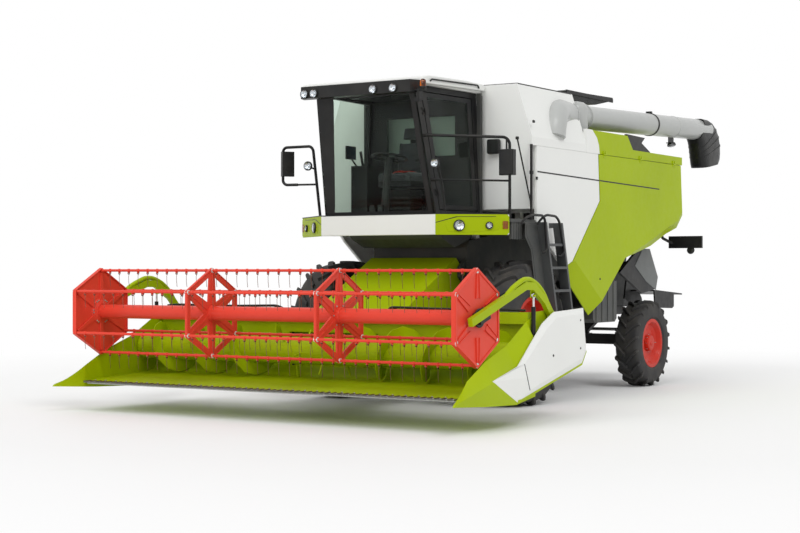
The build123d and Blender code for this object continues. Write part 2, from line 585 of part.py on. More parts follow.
OUTER_RING = [(0.0, 0.0), (1.0, 0.0), (1.0, 1.0), (0.0, 1.0)]
DOOR_GAP_BACK, DOOR_GAP_UP = 0.085, 0.045
INNER_RING = [
    (DOOR_GAP_BACK, DOOR_GAP_UP), (1 - DOOR_GAP_BACK, DOOR_GAP_UP), (1 - DOOR_GAP_BACK, 1 - DOOR_GAP_UP),
    (DOOR_GAP_BACK, 1 - DOOR_GAP_UP),
]
side_ring = side_plate(OUTER_RING, -P, 0) - side_plate(INNER_RING, -P - 10, 10)
cab = both_sides(side_ring)
floor_z = (PLATFORM_Z + SEAT_GAP, FLOOR_Z)
cab += span_box((-CAB_FRONT_HALF, CAB_FRONT_HALF), (CAB_FRONT_Y, CAB_REAR_Y), floor_z)
head_front = B.Y + 12   # behind the leaning windscreen
head = slab_z([(-B.X, head_front), (B.X, head_front), (D.X, D.Y), (-D.X, D.Y)], CAB_TOP_Z - 50, CAB_TOP_Z)
head -= slab_z([(-B.X + P, B.Y + P), (B.X - P, B.Y + P), (D.X - P, D.Y - P), (-D.X + P, D.Y - P)],
               CAB_TOP_Z - 60, CAB_TOP_Z + 10)
cab += head
rear_wall = [(-C.X, FLOOR_Z), (C.X, FLOOR_Z), (D.X, CAB_TOP_Z), (-D.X, CAB_TOP_Z)]
rear_wall = slab_y(rear_wall, CAB_REAR_Y - 40, CAB_REAR_Y)
rear_wall -= span_box((-480, 480), (CAB_REAR_Y - 50, CAB_REAR_Y + 10), (2950, 3420))
cab += rear_wall
pieces["cab_frame"] = cab

# Cab glass: windscreen, right side window and rear window
screen_glass = make_face(Polyline(
    (-A.X + 5, A.Y - 1.1 * SEAT_GAP, FLOOR_Z), (A.X - 5, A.Y - 1.1 * SEAT_GAP, FLOOR_Z),
    (B.X - 5, B.Y - 1.1 * SEAT_GAP, CAB_TOP_Z), (-B.X + 5, B.Y - 1.1 * SEAT_GAP, CAB_TOP_Z), close=True))
screen_normal = Vector(0, -(B.Z - A.Z), B.Y - A.Y).normalized()
glass = extrude(screen_glass, amount=GLASS, dir=screen_normal)
pad = 0.0008
window = [(DOOR_GAP_BACK + pad, DOOR_GAP_UP + pad), (1 - DOOR_GAP_BACK - pad, DOOR_GAP_UP + pad),
          (1 - DOOR_GAP_BACK - pad, 1 - DOOR_GAP_UP - pad), (DOOR_GAP_BACK + pad, 1 - DOOR_GAP_UP - pad)]
glass += mirrored(side_plate(window, -20, -20 + GLASS))
glass += span_box((-479.7, 479.7), (CAB_REAR_Y - 24, CAB_REAR_Y - 16), (2950.3, 3419.7))
pieces["cab_glass"] = glass

# Door on the left, hinged on its front edge
DOOR_PAD_BACK, DOOR_PAD_UP = 0.012, 0.008
low_back, high_back = DOOR_GAP_BACK + DOOR_PAD_BACK, 1 - DOOR_GAP_BACK - DOOR_PAD_BACK
low_up, high_up = DOOR_GAP_UP + DOOR_PAD_UP, 1 - DOOR_GAP_UP - DOOR_PAD_UP
FRAME_BACK, FRAME_UP = 0.07, 0.035
door_outline = [(low_back, low_up), (high_back, low_up), (high_back, high_up), (low_back, high_up)]
door_hole = [(low_back + FRAME_BACK, low_up + FRAME_UP), (high_back - FRAME_BACK, low_up + FRAME_UP),
             (high_back - FRAME_BACK, high_up - FRAME_UP), (low_back + FRAME_BACK, high_up - FRAME_UP)]
door = side_plate(door_outline, -35, 0) - side_plate(door_hole, -50, 10)
HINGE_BACK = (DOOR_GAP_BACK + low_back) / 2
HINGE_OUT = 14
hinge_low = A + (C - A) * HINGE_BACK + side_normal * HINGE_OUT
hinge_high = B + (D - B) * HINGE_BACK + side_normal * HINGE_OUT
hinge_line = hinge_high - hinge_low


def on_hinge(up_low, up_high, radius):
    return rod(tuple(hinge_low + hinge_line * up_low), tuple(hinge_low + hinge_line * up_high), radius)


for up in (0.18, 0.80):
    leaf = [(HINGE_BACK, up - 0.008), (0.14, up - 0.008), (0.14, up + 0.008), (HINGE_BACK, up + 0.008)]
    door += side_plate(leaf, 0, 10)
    door += on_hinge(up - 0.008, up + 0.008, 10)
    door -= on_hinge(up - 0.03, up + 0.03, 5 + RUN_GAP)
    post_hinge = on_hinge(up - 0.028, up + 0.028, 5)
    for low_up_end, high_up_end in ((up - 0.028, up - 0.0095), (up + 0.0095, up + 0.028)):
        post_hinge += on_hinge(low_up_end, high_up_end, 10)
        post_hinge += side_plate([(0.055, low_up_end), (HINGE_BACK, low_up_end), (HINGE_BACK, high_up_end),
                                  (0.055, high_up_end)], 0, 10)
    pieces["cab_frame"] += post_hinge
pieces["door_frame"] = door
door_pane = [(back + pad / 4 * (1 if back < 0.5 else -1), up + pad / 4 * (1 if up < 0.5 else -1))
             for back, up in door_hole]
pieces["door_glass"] = side_plate(door_pane, -20, -20 + GLASS)

# Roof and visor
ROOF_LOW = CAB_TOP_Z + SEAT_GAP
ROOF_HALF = 830
ROOF_FRONT_Y = -1440
VISOR_FRONT_Y = -1580
ROOF_REAR_Y = -45
roof = slab_x([
    (ROOF_FRONT_Y, ROOF_LOW), (ROOF_FRONT_Y, 3735), (-1300, 3765), (-500, 3785), (-80, 3778),
    (ROOF_REAR_Y, 3740), (ROOF_REAR_Y, ROOF_LOW),
], -ROOF_HALF, ROOF_HALF)
# the edge beyond the cab's sides rises to the rear
roof_edge = slab_x([
    (-1300, ROOF_LOW - 1), (-1300, ROOF_LOW), (ROOF_REAR_Y + 1, 3700), (ROOF_REAR_Y + 1, ROOF_LOW - 1),
], 770, ROOF_HALF + 1)
pieces["cab_roof"] = roof - both_sides(roof_edge)
VISOR_LOW, VISOR_HIGH = 3562, 3700
visor_back = ROOF_FRONT_Y - SEAT_GAP
visor = slab_z([
    (-745, VISOR_FRONT_Y), (745, VISOR_FRONT_Y), (800, visor_back), (-800, visor_back),
], VISOR_LOW, VISOR_HIGH)
# bracket beside the visor that carries the beacon
BEACON_X, BEACON_Y, BEACON_Z = 866, -1495, 3594
visor += span_box((770, BEACON_X + 34), (BEACON_Y - 25, BEACON_Y + 25), (BEACON_Z - 18, BEACON_Z))
pieces["roof_visor"] = visor

# Seat: base, cushion and back
cushion_z = FLOOR_Z + 540
backrest = [(-400, cushion_z), (-290, cushion_z), (-290, FLOOR_Z + 1100), (-350, FLOOR_Z + 1100)]
pieces["seat"] = (
    span_box((-220, 220), (-560, -290), (FLOOR_Z + SEAT_GAP, FLOOR_Z + 420))
    + span_box((-250, 250), (-760, -290), (FLOOR_Z + 420, cushion_z))
    + slab_x(backrest, -230, 230)
)

# Controls: steering column with its wheel, and the console at the driver's right
COLUMN_FOOT = (0, -960, FLOOR_Z + 8)
WHEEL_CENTRE = (0, -850, 2900)
STEERING_R = 200
column = rod(COLUMN_FOOT, WHEEL_CENTRE, 45)
steering_plane = Plane(origin=WHEEL_CENTRE, z_dir=Vector(*WHEEL_CENTRE) - Vector(*COLUMN_FOOT))
spokes = Box(2 * STEERING_R, 36, 14) + Box(36, 2 * STEERING_R, 14)
column += steering_plane * (Torus(STEERING_R, 16) + spokes)
column += Pos(0, COLUMN_FOOT[1], FLOOR_Z + SEAT_GAP + 10) * Box(160, 160, 20)
console = span_box((-560, -330), (-820, -320), (FLOOR_Z + SEAT_GAP, 2820))
console += rod((-445, -740, 2815), (-445, -790, 2990), 16)
pieces["controls"] = column + console

# Railings and mirrors: on the left two bars from the front post to an upright at the platform's corner
TUBE_R = 17
corner = (BODY_HALF - 35, FASCIA_END_Y + 75)
RAIL_TOP_Z, RAIL_MIDDLE_Z = 3100, 2603
post_high = A + (B - A) * ((RAIL_TOP_Z - A.Z) / (B.Z - A.Z))
post_low = A + (B - A) * ((RAIL_MIDDLE_Z - A.Z) / (B.Z - A.Z))
OUT = 45              # from the post's face to the bar's end
side_rail = bent_tube([
    tuple(post_high + side_normal * OUT), (*corner, RAIL_TOP_Z), (*corner, PLATFORM_Z + SEAT_GAP),
], TUBE_R, 90)
side_rail += rod(tuple(post_low + side_normal * OUT), (*corner, RAIL_MIDDLE_Z), 12)
for post in (post_high, post_low):
    foot = post + (C - A).normalized() * 22
    side_rail += rod(tuple(foot + side_normal * SEAT_GAP), tuple(foot + side_normal * (OUT + 12)), 19)
side_rail += Pos(corner[0] - 2, corner[1] - 50, 2810) * Box(182, 70, 291)
# on the right a leaning post beside the cab with a hoop for the mirror
HOOP_X = -1369
hoop = bent_tube([
    (-962, -893, PLATFORM_Z + SEAT_GAP), (-962, -893, FASCIA_HIGH + 28), (-928, -1090, 3055),
    (HOOP_X, -1090, 3055), (HOOP_X, -1090, 2606), (-1180, -1050, 2606),
], TUBE_R, 60)
hoop += rod((-1180, -1050, 2606), (-945, -993, 2606), 12)
hoop += Pos(-1300, -1090, 2855) * Rot(0, 0, -34) * Box(60, 150, 298)
pieces["railings"] = side_rail + hoop

# Ladder on the left, leaning back as it goes down, on the platform's edge
LADDER_WIDTH = 120
LADDER_X0 = FRONT_TRACK_HALF + FRONT_TYRE_WIDTH / 2 + MOVE_GAP + 2
LADDER_X = (LADDER_X0, LADDER_X0 + LADDER_WIDTH)
LADDER_TOP, LADDER_BOTTOM = PLATFORM_Z - 30, 500
LADDER_SPAN = 405     # between its sides
TREAD_PITCH = 270
lean = TREAD_PITCH / 1040
foot_y = (LADDER_TOP - LADDER_BOTTOM) * lean
stringer = slab_x([
    (-20, LADDER_TOP), (20, LADDER_TOP), (foot_y + 20, LADDER_BOTTOM), (foot_y - 20, LADDER_BOTTOM),
], *LADDER_X)
stringer += span_box((BODY_HALF + SEAT_GAP, LADDER_X[0]), (-15, 15), (LADDER_TOP - 60, LADDER_TOP))
ladder = stringer + Pos(0, LADDER_SPAN, 0) * stringer
for index in range(6):
    z = LADDER_TOP - 260 - TREAD_PITCH * index
    y = (LADDER_TOP - z) * lean
    ladder += span_box(LADDER_X, (y, y + LADDER_SPAN), (z - 15, z + 15))
pieces["ladder"] = ladder

# Lamps: headlamps in the fascia, work lamps on the visor, beacon, rear lamps
def forward_disc(x, y, z, radius, deep, turn=0):
    """A lamp's round body in front of a face, turned about Z to stand on a slanting one."""
    body = Rot(90, 0, 0) * Cylinder(radius, deep, align=(Align.CENTER, Align.CENTER, Align.MIN))
    return Pos(x, y, z) * Rot(0, 0, turn) * body


fascia_slope = (FASCIA_END_Y - FASCIA_Y) / (BODY_HALF - FASCIA_HALF)
lamps = Pos(BEACON_X, BEACON_Y, BEACON_Z + SEAT_GAP + 56) * Cylinder(36, 112)
for x, radius in ((BODY_HALF - 450, 62), (BODY_HALF - 180, 40)):
    y = FASCIA_Y + (x - FASCIA_HALF) * fascia_slope
    turn = degrees(atan2(fascia_slope, 1))
    lamps += both_sides(forward_disc(x + 0.5 * SEAT_GAP, y - SEAT_GAP, 2090, radius, 24, turn))
for x in (-690, -558, 258, 526):
    lamps += forward_disc(x, VISOR_FRONT_Y - SEAT_GAP, VISOR_LOW + 52, 52, 30)
pieces["lamps"] = lamps

# Rear lamp boards on curved tubes
stalk_x = BODY_HALF - 300
board = span_box((BODY_HALF - 270, BODY_HALF + 225), (HOOD_REAR + 160, HOOD_REAR + 200), (1890, 2060))
board += bent_tube([
    (stalk_x, HOOD_REAR - 88, 2174), (stalk_x, HOOD_REAR + 20, 2030), (stalk_x + 80, HOOD_REAR + 175, 1960),
], 20, 60)
# under the rear wall's lower edge
hood_lip = [(-100.13, 2209.73), (-60.13, 2189.73), (-69, 2165), (-109, 2185)]
board += slab_x([(HOOD_REAR + y, z) for y, z in hood_lip], stalk_x - 40, stalk_x + 40)
PANEL_X = 1000
side_panel = slab_x([
    (WHEELBASE - 490, 1550), (WHEELBASE, 1810), (WHEELBASE + 240, 1875), (WHEELBASE + 480, 1880),
    (WHEELBASE + 758, 1490), (WHEELBASE + 700, 1320), (WHEELBASE + 230, 1260),
], PANEL_X, PANEL_X + 40)
side_panel += span_box((HOUSING_HALF + SEAT_GAP, PANEL_X), (WHEELBASE - 140, WHEELBASE - 80), (1560, 1700))
pieces["rear_lamp_boards"] = both_sides(board) + both_sides(side_panel)

# Feeder house: two side plates with the stubs it lifts on, a top and a bottom plate, open at both ends
FEEDER_FRONT_Y = -1900
FEEDER_REAR_Y = -330
FEEDER_WALL = 30
feeder_side = slab_x([
    (FEEDER_FRONT_Y, 400), (FEEDER_REAR_Y, 1120), (FEEDER_PIVOT_Y + 50, 1510), (FEEDER_PIVOT_Y + 50, 1610),
    (FEEDER_REAR_Y, 1730), (FEEDER_FRONT_Y, 900),
], FEEDER_HALF - FEEDER_WALL, FEEDER_HALF)
feeder_side += disc_x(FEEDER_PIVOT_Y, FEEDER_PIVOT_Z, FEEDER_SHAFT_R, FEEDER_HALF, EAR_X[1] + 6)
sheet_half = FEEDER_HALF - FEEDER_WALL - SEAT_GAP
feeder_top = slab_x([
    (FEEDER_REAR_Y, 1690), (FEEDER_REAR_Y, 1730), (FEEDER_FRONT_Y, 900), (FEEDER_FRONT_Y, 860),
], -sheet_half, sheet_half)
feeder_floor = slab_x([
    (FEEDER_REAR_Y, 1120), (FEEDER_REAR_Y, 1155), (FEEDER_FRONT_Y, 435), (FEEDER_FRONT_Y, 400),
], -sheet_half, sheet_half)
lift_lug = disc_x(*LIFT_TOP, LIFT_PIN, LIFT_X - 50, LIFT_X + 50)
for x in (LIFT_X - 50, LIFT_X + 34):
    lift_lug += slab_x([(-1530, 585), (-1370, 658), (-1415, 485), (-1485, 485)], x, x + 16)
feeder_floor += both_sides(lift_lug)
feeder = both_sides(feeder_side) + feeder_top + feeder_floor
pieces["feeder_house"] = feeder

# Header table: floor, trough and back wall in one sheet, back beams and uprights
trough_r = AUGER_FLIGHT_R + TROUGH_GAP
back_y = AUGER_Y + trough_r
lip_y = KNIFE_Y + 40


def trough_section(offset):
    """Front lip, foot of the trough, its arc and the back wall's top, at a distance outside the sheet."""
    r = trough_r + offset
    foot = (0, AUGER_Y, AUGER_Z - r)
    back = (0, AUGER_Y + r, AUGER_Z)
    middle = (0, AUGER_Y + r * sin(radians(45)), AUGER_Z - r * cos(radians(45)))
    return (0, lip_y, KNIFE_Z + 8 - offset), foot, middle, back, (0, AUGER_Y + r, BEAM_LOW + 10)


lip_a, foot_a, mid_a, back_a, top_a = trough_section(0)
lip_b, foot_b, mid_b, back_b, top_b = trough_section(TABLE_WALL)
section = make_face(
    Line(lip_a, foot_a) + ThreePointArc(foot_a, mid_a, back_a) + Line(back_a, top_a) + Line(top_a, top_b)
    + Line(top_b, back_b) + ThreePointArc(back_b, mid_b, foot_b) + Line(foot_b, lip_b) + Line(lip_b, lip_a)
)
table = extrude(section, amount=TABLE_HALF, both=True, dir=(1, 0, 0))
table += span_box((-TABLE_HALF, TABLE_HALF), (back_y - 80, back_y + 60), (BEAM_LOW, BEAM_HIGH))
table += span_box((-TABLE_HALF, TABLE_HALF), (back_y + 10, FEEDER_FRONT_Y - SEAT_GAP), (380, 470))
for x in (-1700, -FEEDER_HALF - 60, FEEDER_HALF, 1640):
    table += span_box((x, x + 60), (back_y + 10, back_y + 60), (420, BEAM_LOW))
table -= span_box((-FEEDER_HALF, FEEDER_HALF), (back_y - 60, back_y + 100), (500, 890))
bracket = slab_x([
    (back_y, 850), (back_y, BEAM_HIGH), (ARM_PIVOT_Y + 60, ARM_PIVOT_Z + 60),
    (ARM_PIVOT_Y + 60, ARM_PIVOT_Z - 60),
], TABLE_HALF, TABLE_HALF + SHEET)
bracket += disc_x(ARM_PIVOT_Y, ARM_PIVOT_Z, ARM_PIN_R, TABLE_HALF, ARM_X[1] + 4)
table += both_sides(bracket)
pieces["header_table"] = table

# Header sides: sheet, box section and crop divider, lower towards the outside
SIDE_REAR = -2100
top_inner = [(SIDE_REAR, 1060), (-2522, 828), (-2946, 689), (TIP_Y + 30, TIP_Z + 25)]
top_outer = [(SIDE_REAR, 860), (-2484, 570), (-2960, 490), (TIP_Y + 30, TIP_Z + 15)]
base = [(TIP_Y, TIP_Z - 8), (-3100, 262), (-2500, 240), (SIDE_REAR, 300)]
inner_face = make_face(Polyline(*[(TABLE_HALF + SEAT_GAP, y, z) for y, z in top_inner + base], close=True))
outer_face = make_face(Polyline(*[(SIDE_OUTER, y, z) for y, z in top_outer + base], close=True))
side = loft([inner_face, outer_face], ruled=True)
# the divider narrows to a point from the crop's side
side -= slab_z([
    (TABLE_HALF - 10, -3250), (TABLE_HALF - 10, TIP_Y - 10), (SIDE_OUTER - 20, TIP_Y - 10),
], 200, 1200)
side_inner = TABLE_HALF + SEAT_GAP
rear_sheet = [(SIDE_REAR, 300), (back_y, 380), (back_y, 1100), (SIDE_REAR, 1060)]
side += slab_x(rear_sheet, side_inner, TABLE_HALF + SHEET)
side += disc_x(REEL_LIFT_Y, REEL_LIFT_BASE, REEL_LIFT_PIN, side_inner, ARM_X[1] - 4)
side -= disc_x(AUGER_Y, AUGER_Z, AUGER_SHAFT_R + RUN_GAP, TABLE_HALF, TABLE_HALF + 60)
pieces["header_sides"] = both_sides(side)

# Header side covers: outer plate, with its upper edge turned in
cover_outline = [
    (-1025, 1178), (-953, 714), (-1050, 579), (-2480, 262), (-2980, 500), (-2480, 620), (-1950, 1040),
    (-1700, 1150),
]
cover = slab_x(cover_outline, SIDE_OUTER + SEAT_GAP, COVER_OUTER)
pieces["header_side_covers"] = both_sides(cover)

# Knife bar with its pointed fingers
FINGER_PITCH = 76.2
finger_count = int((2 * TABLE_HALF - 40) / FINGER_PITCH)
comb = [(-TABLE_HALF + 2, lip_y - SEAT_GAP), (TABLE_HALF - 2, lip_y - SEAT_GAP), (TABLE_HALF - 2, KNIFE_Y)]
start_x = finger_count * FINGER_PITCH / 2
for index in range(finger_count):
    x = start_x - index * FINGER_PITCH
    comb += [(x - 18, KNIFE_Y), (x - 34, KNIFE_Y - 75), (x - 42, KNIFE_Y - 75), (x - 58, KNIFE_Y)]
comb += [(-TABLE_HALF + 2, KNIFE_Y)]
pieces["knife_bar"] = slab_z(comb, KNIFE_Z - 8, KNIFE_Z + 8)

# Intake auger: tube, two flights of opposite hand that meet at the middle, and the fingers between them

def flight(direction, start, turns, phase):
    """A helical flight as a ruled band through straight radial sections."""
    steps = 12
    sections = []
    for index in range(int(turns * steps) + 1):
        angle = radians(phase + 360 * index / steps * direction)
        x = start + AUGER_PITCH * index / steps * (1 if start >= 0 else -1)
        out = Vector(0, cos(angle), sin(angle))
        axis = Vector(0, AUGER_Y, AUGER_Z)
        low_edge = axis + out * (AUGER_TUBE_R - 8)
        high_edge = axis + out * AUGER_FLIGHT_R
        near, far = Vector(x - 4, 0, 0), Vector(x + 4, 0, 0)
        corners = (low_edge + near, low_edge + far, high_edge + far, high_edge + near)
        sections.append(make_face(Polyline(*corners, close=True)))
    return loft(sections, ruled=True)


auger = disc_x(AUGER_Y, AUGER_Z, AUGER_TUBE_R, -TABLE_HALF + 12, TABLE_HALF - 12)
auger += disc_x(AUGER_Y, AUGER_Z, AUGER_SHAFT_R, -TABLE_HALF - 50, TABLE_HALF + 50)
FLIGHT_START = 560
turns = (TABLE_HALF - 30 - FLIGHT_START) / AUGER_PITCH
auger += both_sides(flight(-1, FLIGHT_START, turns, 90))
AUGER_FINGERS = 12
FINGER_REACH = AUGER_FLIGHT_R - 10
for index in range(AUGER_FINGERS):
    x = 80 * (index - (AUGER_FINGERS - 1) / 2)
    angle = radians(index * 137.5)
    tip = (x, AUGER_Y + FINGER_REACH * cos(angle), AUGER_Z + FINGER_REACH * sin(angle))
    auger += rod((x, AUGER_Y, AUGER_Z), tip, 9)
pieces["intake_auger"] = auger

# Reel arms on the table's pins, each with a lug and pin for its lift cylinder
arm_front, arm_top = (-3320, 1080), (-2230, 1424)
arm_path = [arm_front, arm_top, (-2060, 1420), (-1800, 1265), (ARM_PIVOT_Y, ARM_PIVOT_Z)]
reel_arm = bent_bar_x(arm_path, ARM_X, ARM_DEEP, 110)
reel_arm += disc_x(ARM_PIVOT_Y, ARM_PIVOT_Z, 52, *ARM_X)
reel_arm -= disc_x(ARM_PIVOT_Y, ARM_PIVOT_Z, ARM_PIN_R + RUN_GAP, ARM_X[0] - 10, ARM_X[1] + 10)
lug_y = (REEL_LIFT_Y - 25, REEL_LIFT_Y + 25)
reel_arm += span_box((ARM_X[0], ARM_X[0] + 12), lug_y, (REEL_LIFT_TOP - 22, 1400))
reel_arm += disc_x(REEL_LIFT_Y, REEL_LIFT_TOP, REEL_LIFT_PIN, *ARM_X)
pieces["reel_arms"] = both_sides(reel_arm)

# Reel carriage: a cheek beside each arm and a shoe under it, which slide along it with the reel's bearing
arm_slope = atan2(arm_top[1] - arm_front[1], arm_top[0] - arm_front[0])
arm_z = arm_front[1] + (REEL_Y - arm_front[0]) * sin(arm_slope) / cos(arm_slope)
cheek_x = (REEL_END_X + REEL_END_WALL / 2 + MOVE_GAP, ARM_X[0] - SEAT_GAP)
carriage = span_box(cheek_x, (-100, 100), (-ARM_DEEP / 2 - 35, ARM_DEEP / 2))
carriage += span_box((cheek_x[0], ARM_X[1]), (-100, 100), (-ARM_DEEP / 2 - 35, -ARM_DEEP / 2 - SEAT_GAP))
carriage = Pos(0, REEL_Y, arm_z) * Rot(degrees(arm_slope), 0, 0) * carriage
carriage -= disc_x(REEL_Y, REEL_Z, REEL_SHAFT_R + RUN_GAP, cheek_x[0] - 5, cheek_x[1] + 5)
pieces["reel_carriage"] = both_sides(carriage)

# Reel frame: centre tube, two spiders and the closed end plates
def on_reel(radius, turn):
    return REEL_Y + radius * sin(radians(turn)), REEL_Z + radius * cos(radians(turn))


BAT_STEP = 360 / BAT_COUNT
hexagon = [on_reel(REEL_R, BAT_STEP * k) for k in range(BAT_COUNT)]
bat_places = [on_reel(BAT_CIRCLE_R, BAT_STEP * k) for k in range(BAT_COUNT)]
reel = disc_x(REEL_Y, REEL_Z, REEL_TUBE_R, -REEL_END_X, REEL_END_X)
reel += disc_x(REEL_Y, REEL_Z, REEL_SHAFT_R, -cheek_x[1], cheek_x[1])
for x in (-REEL_END_X, REEL_END_X):
    reel += slab_x(hexagon, x - REEL_END_WALL / 2, x + REEL_END_WALL / 2)
for x in (-SPIDER_X, SPIDER_X):
    ring = slab_x(hexagon, x - SPIDER_WALL / 2, x + SPIDER_WALL / 2)
    for k in range(BAT_COUNT):
        places = ((130, 30), (REEL_R - 95, 6.5), (REEL_R - 95, 53.5))
        window = [on_reel(r, BAT_STEP * k + turn) for r, turn in places]
        ring -= slab_x(window, x - SPIDER_WALL, x + SPIDER_WALL)
    reel += ring
for y, z in bat_places:
    reel -= disc_x(y, z, BAT_R + RUN_GAP, -REEL_END_X - 20, REEL_END_X + 20)
pieces["reel_frame"] = reel

# Bats: a round tube with tines that hang straight down
tines = []
for index in range(TINES_PER_BAT):
    x = (index - (TINES_PER_BAT - 1) / 2) * TINE_PITCH
    tines.append(span_box((x - 4, x + 4), (-4, 4), (-TINE_LENGTH, 0)))
bat = disc_x(0, 0, BAT_R, -REEL_END_X - 10, REEL_END_X + 10) + tines
for index, (y, z) in enumerate(bat_places):
    pieces[f"reel_bat_{index + 1}"] = Pos(0, y, z) * bat

# Lift cylinders. Each barrel turns on its base pin, and its rod ends in a wide eye on the far pin.

def cylinder(x, base, top, barrel_from, rod_from, barrel_to, barrel_r, rod_r, pin_r, eye_gap, eye_half):
    """Barrel and rod between two pins along X. The lengths are counted from the base pin."""
    start = Vector(x, *base)
    line = Vector(x, *top) - start
    along = line.normalized()
    barrel = rod(tuple(start + along * barrel_from), tuple(start + along * barrel_to), barrel_r)
    barrel += rod(tuple(start), tuple(start + along * (barrel_from + 5)), 0.8 * eye_half)
    barrel += disc_x(*base, pin_r + 14, x - eye_half, x + eye_half)
    barrel -= disc_x(*base, pin_r + RUN_GAP, x - 2 * barrel_r, x + 2 * barrel_r)
    bore_start, bore_end = start + along * (barrel_from + 20), start + along * (barrel_to + 10)
    barrel -= rod(tuple(bore_start), tuple(bore_end), rod_r + RUN_GAP)
    eye_r = pin_r + eye_gap + 12
    stem = rod(tuple(start + along * rod_from), tuple(start + along * (line.length - eye_r + 8)), rod_r)
    stem += disc_x(*top, eye_r, x - eye_half, x + eye_half)
    stem -= disc_x(*top, pin_r + eye_gap, x - 2 * eye_half, x + 2 * eye_half)
    return barrel, stem


lift_barrel, lift_rod = cylinder(
    LIFT_X, LIFT_BASE, LIFT_TOP, barrel_from=75, rod_from=195, barrel_to=700, barrel_r=50, rod_r=28,
    pin_r=LIFT_PIN, eye_gap=LIFT_EYE_GAP, eye_half=20)
pieces["lift_barrels"] = both_sides(lift_barrel)
pieces["lift_rods"] = both_sides(lift_rod)
reel_barrel, reel_rod = cylinder(
    REEL_LIFT_X, (REEL_LIFT_Y, REEL_LIFT_BASE), (REEL_LIFT_Y, REEL_LIFT_TOP), barrel_from=40, rod_from=80,
    barrel_to=330, barrel_r=23, rod_r=12, pin_r=REEL_LIFT_PIN, eye_gap=REEL_LIFT_EYE_GAP, eye_half=7)
pieces["reel_lift_barrels"] = both_sides(reel_barrel)
pieces["reel_lift_rods"] = both_sides(reel_rod)

os.makedirs("parts", exist_ok=True)
middle_y = (TIP_Y + SPOUT_REAR_Y) / 2
for name, piece in pieces.items():
    export_step(Pos(0, -middle_y, 0) * piece, f"parts/{name}.step")
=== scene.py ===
import json
from math import cos, pi, radians, sin

import bmesh
import bpy
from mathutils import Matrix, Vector


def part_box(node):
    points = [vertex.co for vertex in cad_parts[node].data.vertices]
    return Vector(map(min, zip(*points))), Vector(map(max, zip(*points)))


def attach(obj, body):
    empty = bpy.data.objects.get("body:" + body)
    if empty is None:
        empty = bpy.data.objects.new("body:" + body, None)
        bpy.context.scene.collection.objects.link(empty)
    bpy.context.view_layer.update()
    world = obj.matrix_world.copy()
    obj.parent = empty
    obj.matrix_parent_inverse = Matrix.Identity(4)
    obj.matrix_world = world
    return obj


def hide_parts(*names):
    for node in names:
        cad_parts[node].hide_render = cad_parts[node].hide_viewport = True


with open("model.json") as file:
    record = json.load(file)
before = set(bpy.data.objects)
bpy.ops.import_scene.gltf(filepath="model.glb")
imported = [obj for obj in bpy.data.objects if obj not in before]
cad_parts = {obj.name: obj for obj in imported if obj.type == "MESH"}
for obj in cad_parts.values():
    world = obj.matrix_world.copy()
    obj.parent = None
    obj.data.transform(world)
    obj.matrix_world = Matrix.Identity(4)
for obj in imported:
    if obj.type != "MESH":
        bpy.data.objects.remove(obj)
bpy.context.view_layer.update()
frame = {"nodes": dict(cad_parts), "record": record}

# Pieces are drawn in millimetres as the solids are: +Z up, the machine faces -Y, its left side is +X,
# the front axle at Y = 0 and the ground at Z = 0.
X, Y, Z = (1, 0, 0), (0, 1, 0), (0, 0, 1)


def left_end(node):
    """How far a node reaches to the left, in the drawing's millimetres."""
    return 1000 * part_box(node)[1][0]


AXLE_Y = sum(corner[1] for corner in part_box("rim_front_left")) / 2
BODY_HALF = left_end("cover_front_left")
TABLE_HALF = left_end("header_table") - 80
COVER_OUTER = left_end("header_side_covers")
DECK_Z = 3150
REEL_Y, REEL_Z = -3080, 1118
REEL_END_X = 2465


# Materials

def srgb(red, green, blue):
    """A colour as a paint chart gives it, from 0 to 255, as the shader wants it."""
    return tuple(
        c / 255 / 12.92 if c <= 10 else ((c / 255 + 0.055) / 1.055) ** 2.4 for c in (red, green, blue)
    )


def feed(tree, socket, value):
    """An input takes a value of its own or another node's output."""
    if isinstance(value, bpy.types.NodeSocket):
        tree.links.new(value, socket)
    else:
        socket.default_value = value


def add_node(tree, kind, **values):
    """A shader node whose properties and inputs go by their names."""
    made = tree.nodes.new("ShaderNode" + kind)
    for key, value in values.items():
        if hasattr(made, key):
            setattr(made, key, value)
        else:
            feed(tree, made.inputs[key.replace("_", " ")], value)
    return made


